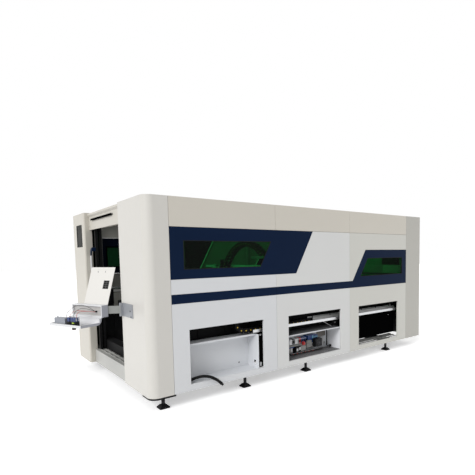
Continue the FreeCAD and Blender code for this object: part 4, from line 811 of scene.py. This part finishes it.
# the recesses' white is painted lighter than the front's, as painted light against their shade
recess_white_painted_light = surface("recess_white_painted_light_coat", (0.66, 0.675, 0.70), clouds=(1.5, 0.06))
refined("duct_box", recess_white_painted_light, 1.0)
finish(block("slot_cover", (1344, 56, 62), (1452, 59, 488), 0.8), shadow_black)
clip = block("slot_clips", (1374, 46, 447), (1398, 56, 465), 2)
low_clip = block("low_clip", (1372, 44, 80), (1398, 56, 128), 2)
clip_screw = round_bar("screw", (1385, 41, 104), 5, 4, "Y", 12)
finish(joined([clip, low_clip, clip_screw]), zinc)
lip_screw = round_bar("recess_screws", (520, 97, 459), 5, 3.5, "Y", 12, 0.6)
finish(in_a_row(lip_screw, 5, (180, 0, 0)), zinc)

# -------- second service bay
# The control box: a white sheet housing with a ribbed floor, a dark ribbed mat on its
# roof, and two rails of switchgear with a wiring duct between them.

def device_plastic(name, color, roughness=0.4, relief=0.1):
    """A device's moulded housing, with a fine even relief."""
    return surface(name, color, roughness, fine=(400, relief))


housing = refined("control_box", recess_white_painted_light, 1.0)
floor_grey = surface("ribbed_floor_grey", (0.12, 0.12, 0.125), 0.45, clouds=(8, 0.2))
repaint(housing, floor_grey, lambda p, n: 61 < p.z < 70 and 30 < p.y < 293)
rib_step = (22, 0, 0)
floor_rib_grey = surface("floor_rib_grey", (0.34, 0.34, 0.335), 0.45, clouds=(8, 0.2))
floor_rib = block("floor_ribs", (1796, 34, 61), (1804, 288, 65.5), 1)
finish(in_a_row(floor_rib, 45, rib_step), floor_rib_grey)
# the box's inner wall that faces the lamp is painted brighter still, as painted light
lamp_side_painted_light = surface("recess_wall_painted_light", (0.86, 0.87, 0.90), 0.35, clouds=(1.5, 0.06))
repaint(housing, lamp_side_painted_light, lambda p, n: p.x > 2700 and n.x < -0.5)
mat_rubber = surface("ribbed_mat_rubber", (0.09, 0.092, 0.095), 0.6, fine=(150, 0.3), shine=0.2)
mat = block("roof_mat", (1792, 46, 384), (2770, 284, 387), 1)
mat_rib = block("rib", (1800, 50, 387), (1808, 280, 391), 1)
finish(with_row(mat, mat_rib, 44, rib_step), mat_rubber)

device_grey = device_plastic("grey_device_plastic", (0.30, 0.30, 0.29), 0.45)
device_white = device_plastic("white_device_plastic", (0.66, 0.66, 0.67))
device_blue = device_plastic("blue_device_plastic", (0.012, 0.045, 0.17))
device_red = device_plastic("red_device_plastic", (0.52, 0.022, 0.016))
device_cyan = device_plastic("pale_blue_label", (0.16, 0.38, 0.52), 0.45, 0.05)
devices = refined("control_devices", device_grey, 1.0)
# each device's colour, its left and right edges and the heights that it fills
for material, left, right, low, high in (
    (black_plastic, 1820, 1872, 205, 285), (device_white, 1873, 1923, 205, 285),
    (black_plastic, 1924, 1974, 205, 285), (device_white, 1975, 2025, 205, 285),
    (black_plastic, 2026, 2076, 205, 285), (device_white, 2077, 2103, 205, 285),
    (black_plastic, 2104, 2127, 205, 285), (device_red, 2160, 2192, 200, 290),
    (device_blue, 2193, 2292, 200, 290), (device_blue, 2302, 2484, 190, 300),
    (device_white, 1875, 1911, 96, 165), (device_white, 1946, 1982, 96, 165),
    (device_white, 2016, 2052, 96, 165), (black_plastic, 2082, 2174, 80, 180),
):
    repaint(devices, material,
            lambda p, n: left < p.x < right and low < p.z < high and p.y < 285.5)

lever = block("breaker_levers", (2139, 188, 236), (2147, 206, 254), 2)
finish(in_a_row(lever, 5, (33, 0, 0)), black_plastic)
screw_head = round_bar("device_screws", (1984, 203, 272), 4, 3.5, "Y", 10, 0.5)
finish(with_copies(in_a_row(screw_head, 18, (17, 0, 0)), (0, 0, -55)), zinc)
duct = block("wiring_duct", (1960, 204, 184), (2292, 284, 202), 1)
duct_tooth = block("tooth", (1962, 198, 183), (1970, 204, 203), 0.8)
finish(with_row(duct, duct_tooth, 27, (12, 0, 0)), device_grey)
drive_face = block("drive_faces", (2092, 190, 112), (2122, 195.5, 150), 2)
finish(with_copies(drive_face, (46, 0, 12)), device_white)
finish(block("relay_bases", (1960, 222, 160), (2078, 232, 176), 1.5), device_blue)

# a rotary main switch in red, a pale drive beside it and labels on the blue covers
switch_base = block("main_switch", (2197, 182, 183), (2233, 206, 231), 3)
knob = round_bar("knob", (2215, 168, 207), 17, 14, "Y", 20, 2)
finish(joined([switch_base, knob]), device_red)
drive = block("small_drive", (2272, 172, 142), (2352, 200, 236), 3)
drive_fin = block("fin", (2278, 166, 150), (2282, 172, 228), 0.8)
finish(with_row(drive, drive_fin, 8, (9.5, 0, 0)), device_grey)
upright_label = block("blue_cover_labels", (2376, 184, 252), (2398, 191.5, 290), 1)
wide_label = block("label", (2410, 184, 262), (2478, 191.5, 276), 1)
finish(joined([upright_label, wide_label]), device_cyan)

# the fan box, with rings and spokes across its opening
finish(block("cooling_fan", (2384, 124, 140), (2508, 190, 250), 5), black_plastic)
guard_bars = [round_ring("fan_guard", (2446, 122.5, 195), radius, 2.2, 40, 8, upright=True)
              for radius in (46, 33, 20)]
guard_bars += [
    round_bar("hub", (2446, 118, 195), 12, 5, "Y", 20, 1),
    block("spoke", (2398, 121, 193), (2494, 124, 197), 1),
    block("spoke", (2444, 121, 147), (2448, 124, 243), 1),
]
finish(joined(guard_bars, "fan_guard"), dark_steel)

# a strip of terminals along the floor: black bodies with white and red markers
terminal_step = 12
strip = block("terminal_strip", (1955, 168, 84), (2560, 190, 106), 2)
body_rib = block("rib", (1958, 164, 86), (1966, 168, 104), 1)
finish(with_row(strip, body_rib, 50, (terminal_step, 0, 0)), black_plastic)
marker = block("terminal_markers", (1966.5, 163, 97), (1969.5, 168, 105), 0.4)
finish(in_a_row(marker, 48, (terminal_step, 0, 0)), device_white)
red_marker = block("terminal_marks_red", (2002, 162, 88), (2012, 167, 96), 1)
finish(in_a_row(red_marker, 6, (6 * terminal_step, 0, 0)), device_red)

# a grey-brown plate and a ribbed heat sink to the right, and a black conduit down to
# its plug on the floor
plate_brown = surface("grey_brown_plate", (0.17, 0.155, 0.135), 0.45, clouds=(6, 0.2))
plate = block("side_plate", (2556, 284, 236), (2735, 288, 300), 1)
plate_screw = round_bar("screw", (2570, 281, 288), 4, 4, "Y", 10, 0.5)
finish(with_row(plate, plate_screw, 4, (50, 0, 0)), plate_brown)
sink = block("heat_sink", (2524, 270, 118), (2650, 284, 232), 1)
sink_fin = block("fin", (2526, 236, 120), (2529.5, 270, 230), 0.5)
finish(with_row(sink, sink_fin, 16, (8, 0, 0)), device_white)
conduit_radius, bend_middle = 9, (2704, 200, 125)
down = round_bar("black_conduit", (2676, 200, 125), conduit_radius, 257, sides=20)
elbow = round_ring("elbow", bend_middle, 28, conduit_radius, 48, 20, upright=True)
edit(elbow)
for normal in ((1, 0, 0), (0, 0, 1)):
    bpy.ops.mesh.select_all(action="SELECT")
    bpy.ops.mesh.bisect(plane_co=[m / 1000 for m in bend_middle], plane_no=normal,
                        use_fill=True, clear_outer=True)
close()
along = round_bar("along", (2704, 200, 97), conduit_radius, 22, "X", 20)
plug = round_bar("plug", (2724, 200, 97), 15, 34, "X", 20, 3)
finish(joined([down, elbow, along, plug]), black_plastic)

# a small black blower and a white stay between the control box and the chain's tray
drum = round_bar("bay_blower", (2772, 128, 437), 46, 74, "Y", 48, 5)
outlet = block("outlet", (2706, 140, 389), (2772, 190, 425), 4)
finish(joined([drum, outlet]), black_plastic)
finish(round_bar("blower_cap", (2772, 124, 437), 8, 6, "Y", 20, 1.5), device_white)
stay = round_bar("tray_stay", (0, 0, 0), 3, 205, "X", 16)
stay.data.transform(Matrix.Translation((2.508, 0.12, 0.486)) @ turned(27, "Y"))
finish(stay, grip_white)

# -------- third service bay
# A cover of one folded sheet that closes the bay, painted black and darkened further
# as the bay's painted shade. One zinc plated screw holds it.

cover_black_and_shade = surface("bay_cover_black_and_shade", (0.0014, 0.0014, 0.0015), 0.6, fine=(260, 0.1), shine=0.0)
refined("bay_cover", cover_black_and_shade, 1.0)
finish(round_bar("cover_screw", (3992, 98, 419), 7, 5, "Y", 16, 1.2), zinc)

# -------- drain hose
# A soft black hose, 32 mm across, from its gland in the recess out over the bay's
# lower edge and down the front, with a short open fitting at its end.

def route_curve(name, points, diameter, material, seat):
    """A cord as one smooth NURBS line through its control points, in metres."""
    data = bpy.data.curves.new(name, "CURVE")
    data.dimensions = "3D"
    line = data.splines.new("NURBS")
    line.points.add(len(points) - 1)
    for knot, point in zip(line.points, points):
        knot.co = (*(seat @ Vector(point)), 1)
    line.order_u = 3
    line.use_endpoint_u = True
    line.resolution_u = 8
    data.bevel_depth = diameter / 2
    data.bevel_resolution = 5
    data.use_fill_caps = True
    data.materials.append(material)
    return shown(name, data)


hose_rubber = surface("hose_rubber", (0.004, 0.004, 0.0042), 0.45, fine=(220, 0.15), shine=0.1)
hose_route = [
    (0.345, 0.250, 0.094), (0.345, 0.190, 0.093), (0.364, 0.134, 0.088), (0.408, 0.096, 0.082),
    (0.466, 0.080, 0.086), (0.524, 0.052, 0.110), (0.584, 0.014, 0.124), (0.640, -0.024, 0.116),
    (0.692, -0.052, 0.088), (0.730, -0.062, 0.058), (0.757, -0.064, 0.030),
]
hose = route_curve("drain_hose_line", hose_route, 0.032, hose_rubber, CABIN)
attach(hose, "machine")
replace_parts(hose, "drain_hose")
fitting = refined("hose_nozzle", black_plastic, 0.6, 30)
CABIN @ Vector(hose_route[0])
gland = round_bar("hose_gland", (345, 222, 94), 25, 28, "Y", 6, 2)
collar = round_bar("hose_gland", (345, 210, 94), 21, 14, "Y", 24, 1.5)
finish(joined([gland, collar]), black_plastic)

# -------- console
# A blue-grey bracket and a grey arm carry a white steel box with an upright plate
# behind it and a button cover, here swung open, on a long hinge under its front edge.

blue_grey = surface("blue_grey_paint", (0.257, 0.268, 0.289), 0.42)
arm_grey = surface("arm_grey_paint", (0.235, 0.243, 0.232), 0.42)
plate_white = surface("plate_white_paint", (0.66, 0.645, 0.615), 0.42)
box_white = surface("console_white_powder_coat", (0.66, 0.665, 0.68), 0.38)
# one end of the box and of the cover is painted blue-grey as painted shade
box_side_painted_shade = surface("console_side_painted_shade", (0.36, 0.37, 0.42))
box_face_painted_shade = surface("console_recess_painted_shade", (0.43, 0.42, 0.41))
bracket = refined("console_bracket", blue_grey, 1.0, 30)
repaint(bracket, black_paint, lambda p, n: p.x < -6.2 and p.y < 480)
refined("console_arm", arm_grey, 1.0, 30)

# the box's face is set back behind a narrow rim, and painted grey as the shade inside it
rim_width, set_back = 0.012, 0.022
box = merged_copy("console_box")
front_way = DESK.to_3x3() @ Vector((0, 1, 0))
pick(box, "FACE", lambda face: abs(face.normal.dot(front_way)) > 0.99 and face.area > 0.03)
bpy.ops.mesh.inset(thickness=rim_width, use_individual=True)
bpy.ops.mesh.extrude_region_move(TRANSFORM_OT_translate={"value": front_way * -set_back})
close()
refined("console_box", box_white, 0.8, thing=box)
repaint(box, box_face_painted_shade, lambda p, n: p.y < -21 and n.y > 0.9, DESK)
repaint(box, box_side_painted_shade, lambda p, n: p.x < 1 and n.x < -0.9, DESK)
grommet = round_bar("wire_grommet", (106, -22, 824), 9, 20, "Y", 24, 3)
finish(grommet, rubber, "console", DESK)

# the plate's eight keys on their black backing, a grey bezel round them, and two
# screws near the plate's top
PLATE = DESK @ Matrix.Translation((0, -0.0781, 0.8949)) @ turned(17, "X")
refined("console_plate", plate_white, 0.7)
keys = [block("plate_keys", (x, -9, z), (x + 40, 1.2, z + 20), 1.2)
        for z in (176.5, 199.5, 222.5, 245.5) for x in (50, 94)]
keys.append(block("backing", (44, -14, 168), (140, -5, 274), 1))
finish(joined(keys, "plate_keys"), rubber, "console", PLATE)
bezel_grey = surface("key_bezel_grey", (0.09, 0.09, 0.09), 0.5)
finish(block("key_bezel", (46, -0.3, 173), (138, 0.6, 269), 0.3), bezel_grey, "console", PLATE)
plate_screw = round_bar("plate_screws", (145, -6, 366), 6, 7.4, "Y", 16, 0.8)
finish(with_copies(plate_screw, (120, 0, 0)), dark_steel, "console", PLATE)

cover = refined("console_cover", box_white, 0.8, 25)
# the cover's end takes the same blue-grey painted shade
repaint(cover, box_side_painted_shade, lambda p, n: p.x < -1 and n.x < -0.9, DESK)

# contact blocks, blue over black, and the switch box of bright sheet above its foot and
# dark below it
block_top, sheet_foot, switch_side = 744, 716, 270
contacts = scored(merged_copy("contact_blocks"), [
    (DESK @ Vector((0, 0, level / 1000)), (0, 0, 1)) for level in (sheet_foot, block_top)
])
refined("contact_blocks", black_plastic, 1.0, thing=contacts)
contact_blue = surface("contact_block_blue", (0.010, 0.030, 0.130), 0.35)
bright_sheet = surface("bright_switch_sheet", (0.25, 0.265, 0.30), 0.4, 0.2)
switch_lower_dark = surface("switch_box_lower_dark", (0.085, 0.078, 0.068), 0.45)
for material, where in (
    (contact_blue, lambda p, n: p.x < 260 and p.z > block_top),
    (bright_sheet, lambda p, n: p.x > switch_side and p.z > sheet_foot),
    (switch_lower_dark, lambda p, n: p.x > switch_side and p.z < sheet_foot),
):
    repaint(contacts, material, where, DESK)
flange = block("switch_flange", (272, 167, 714), (458, 243, 718), 1)
flange_foot = block("foot", (284, 240, 692), (296, 247, 706), 1)
finish(with_row(flange, flange_foot, 8, (21, 0, 0)), zinc, "console_cover", DESK)
contact_screw = round_bar("contact_screws", (127, 190, 785.5), 4.5, 3, "Z", 12, 0.6)
screws = copies(contact_screw, [
    (left + dx, dy, 0) for left in (0, 41, 96) for dx in (0, 22) for dy in (0, 30)
])
finish(joined(screws, "contact_screws"), device_white, "console_cover", DESK)
terminal = block("contact_terminals", (117, 186, 752), (120, 198, 764), 1)
terminals = copies(terminal, [(0, dy, dz) for dy in (0, 26) for dz in (0, 16)])
finish(joined(terminals, "contact_terminals"), device_white, "console_cover", DESK)
leaf_green = surface("yellow_green_terminal", (0.30, 0.42, 0.02))
earth_terminal = block("earth_terminal", (136, 229, 724), (168, 236, 738), 1.5)
finish(earth_terminal, leaf_green, "console_cover", DESK)
green = surface("green_button_plastic", (0.02, 0.30, 0.07), 0.3, coat=0.3)
red = surface("red_button_plastic", (0.50, 0.015, 0.012), 0.3, coat=0.3)
refined("start_button", green, 1.5, 30)
refined("stop_button", red, 1.5, 30)
stop = refined("emergency_stop", red, 2, 30)
repaint(stop, black_plastic, lambda p, n: n.z > -0.3, DESK)

# wires from the contacts into the box, in metres in the console's own frame
wire_routes = [
    [(0.302, 0.202, 0.775), (0.302, 0.202, 0.812), (0.290, 0.176, 0.852), (0.262, 0.146, 0.884),
     (0.226, 0.116, 0.902), (0.188, 0.082, 0.900), (0.156, 0.048, 0.880), (0.128, 0.022, 0.852),
     (0.106, 0.0, 0.828)],
    [(0.249, 0.199, 0.786), (0.249, 0.199, 0.812), (0.250, 0.166, 0.836), (0.226, 0.126, 0.846),
     (0.192, 0.094, 0.842), (0.160, 0.056, 0.832), (0.132, 0.026, 0.826), (0.106, 0.0, 0.822)],
    [(0.226, 0.203, 0.786), (0.226, 0.203, 0.814), (0.212, 0.172, 0.844), (0.186, 0.132, 0.858),
     (0.160, 0.090, 0.856), (0.132, 0.042, 0.842), (0.110, 0.0, 0.826)],
    [(0.182, 0.200, 0.786), (0.182, 0.200, 0.818), (0.176, 0.170, 0.856), (0.160, 0.126, 0.872),
     (0.142, 0.084, 0.866), (0.121, 0.040, 0.848), (0.102, 0.0, 0.828)],
    [(0.138, 0.201, 0.786), (0.138, 0.201, 0.816), (0.144, 0.168, 0.840), (0.142, 0.120, 0.842),
     (0.130, 0.076, 0.836), (0.120, 0.036, 0.828), (0.112, 0.0, 0.820)],
]
white_wire = surface("white_wire_sheath", (0.62, 0.62, 0.60), 0.45)
wire_sheaths = (black_plastic, red, white_wire, black_plastic, red)
for k, route in enumerate(wire_routes):
    name = f"console_wire_{k + 1}"
    line = route_curve(name, route, 0.004, wire_sheaths[k], DESK)
    half_thick = line.data.bevel_depth
    line.data.bevel_depth = 0
    path = [vertex.co.copy() for vertex in bpy.data.meshes.new_from_object(line).vertices]
    line.data.bevel_depth = half_thick
    tube = shown(f"{name}_tube", bpy.data.meshes.new_from_object(line))
    bpy.data.objects.remove(line)
    for face in tube.data.polygons:
        face.use_smooth = True
    length = sum((b - a).length for a, b in zip(path, path[1:]))
    DESK @ Vector(route[-1])
    DESK @ Vector(route[0])
    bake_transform(tube)
    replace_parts(tube, "console_wires")
    DESK @ Vector(route[0])
    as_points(path)

# -------- studio
# A pale floor, a soft even sky and one broad lamp from the left, and the camera
# where the photograph was taken from.

deselect()
bpy.ops.mesh.primitive_circle_add(vertices=96, radius=60, fill_type="NGON",
                                  location=(0, 0, -0.0005))
floor = placed("studio_floor")
floor_finish, nodes, link_up, shader = new_finish("pale_floor")
set_inputs(shader, {
    "Base Color": (0.90, 0.90, 0.90, 1), "Roughness": 0.9, "Emission Color": (1, 1, 1, 1),
})


def seen_directly(tree):
    """One where a ray comes from the camera, a reflection or through glass."""
    rays, link = tree.nodes.new("ShaderNodeLightPath"), tree.links.new
    first, second = math_node(tree.nodes, "MAXIMUM"), math_node(tree.nodes, "MAXIMUM")
    link(rays.outputs["Is Camera Ray"], first.inputs[0])
    link(rays.outputs["Is Glossy Ray"], first.inputs[1])
    link(first.outputs[0], second.inputs[0])
    link(rays.outputs["Is Transmission Ray"], second.inputs[1])
    return second.outputs[0]


floor_glow, sky_light, sky_seen = 0.42, 0.62, 1.0
lift = math_node(nodes, "MULTIPLY", {1: floor_glow})
link_up(seen_directly(floor_finish.node_tree), lift.inputs[0])
link_up(lift.outputs[0], shader.inputs["Emission Strength"])
floor.data.materials.append(floor_finish)

sky = bpy.data.worlds.new("studio_sky")
sky.use_nodes = True
bpy.context.scene.world = sky
sky_tree = sky.node_tree
backdrop, level = sky_tree.nodes["Background"], sky_tree.nodes.new("ShaderNodeMapRange")
backdrop.inputs["Color"].default_value = (1, 1, 1, 1)
set_inputs(level, {"To Min": sky_light, "To Max": sky_seen})
sky_tree.links.new(seen_directly(sky_tree), level.inputs["Value"])
sky_tree.links.new(level.outputs["Result"], backdrop.inputs["Strength"])

lamp = bpy.data.lights.new("broad_lamp", "SUN")
lamp.energy = 2.0
lamp.angle = math.radians(30)
lamp_at = shown("broad_lamp", lamp)
lamp_at.rotation_euler = Vector((0.78, 0.32, -0.55)).to_track_quat("-Z", "Y").to_euler()

# solved from the photograph's corners and seams
lens = bpy.data.cameras.new("photo_camera")
lens.sensor_width = 36
lens.lens = 30.495
lens.shift_x = -0.0805
lens.shift_y = 0.1030
lens.clip_end = 200
camera = shown("photo_camera", lens)
right = Vector((0.77645, -0.62996, -0.01655))
down = Vector((-0.05976, -0.04746, -0.99708))
ahead = Vector((0.62733, 0.77518, -0.0745))
camera.matrix_world = Matrix.Translation((-3.49305, -5.03062, 1.52714)) @ Matrix(
    (right, -down, -ahead)).transposed().to_4x4()
bpy.context.scene.camera = camera
bpy.context.scene.view_settings.view_transform = "Standard"
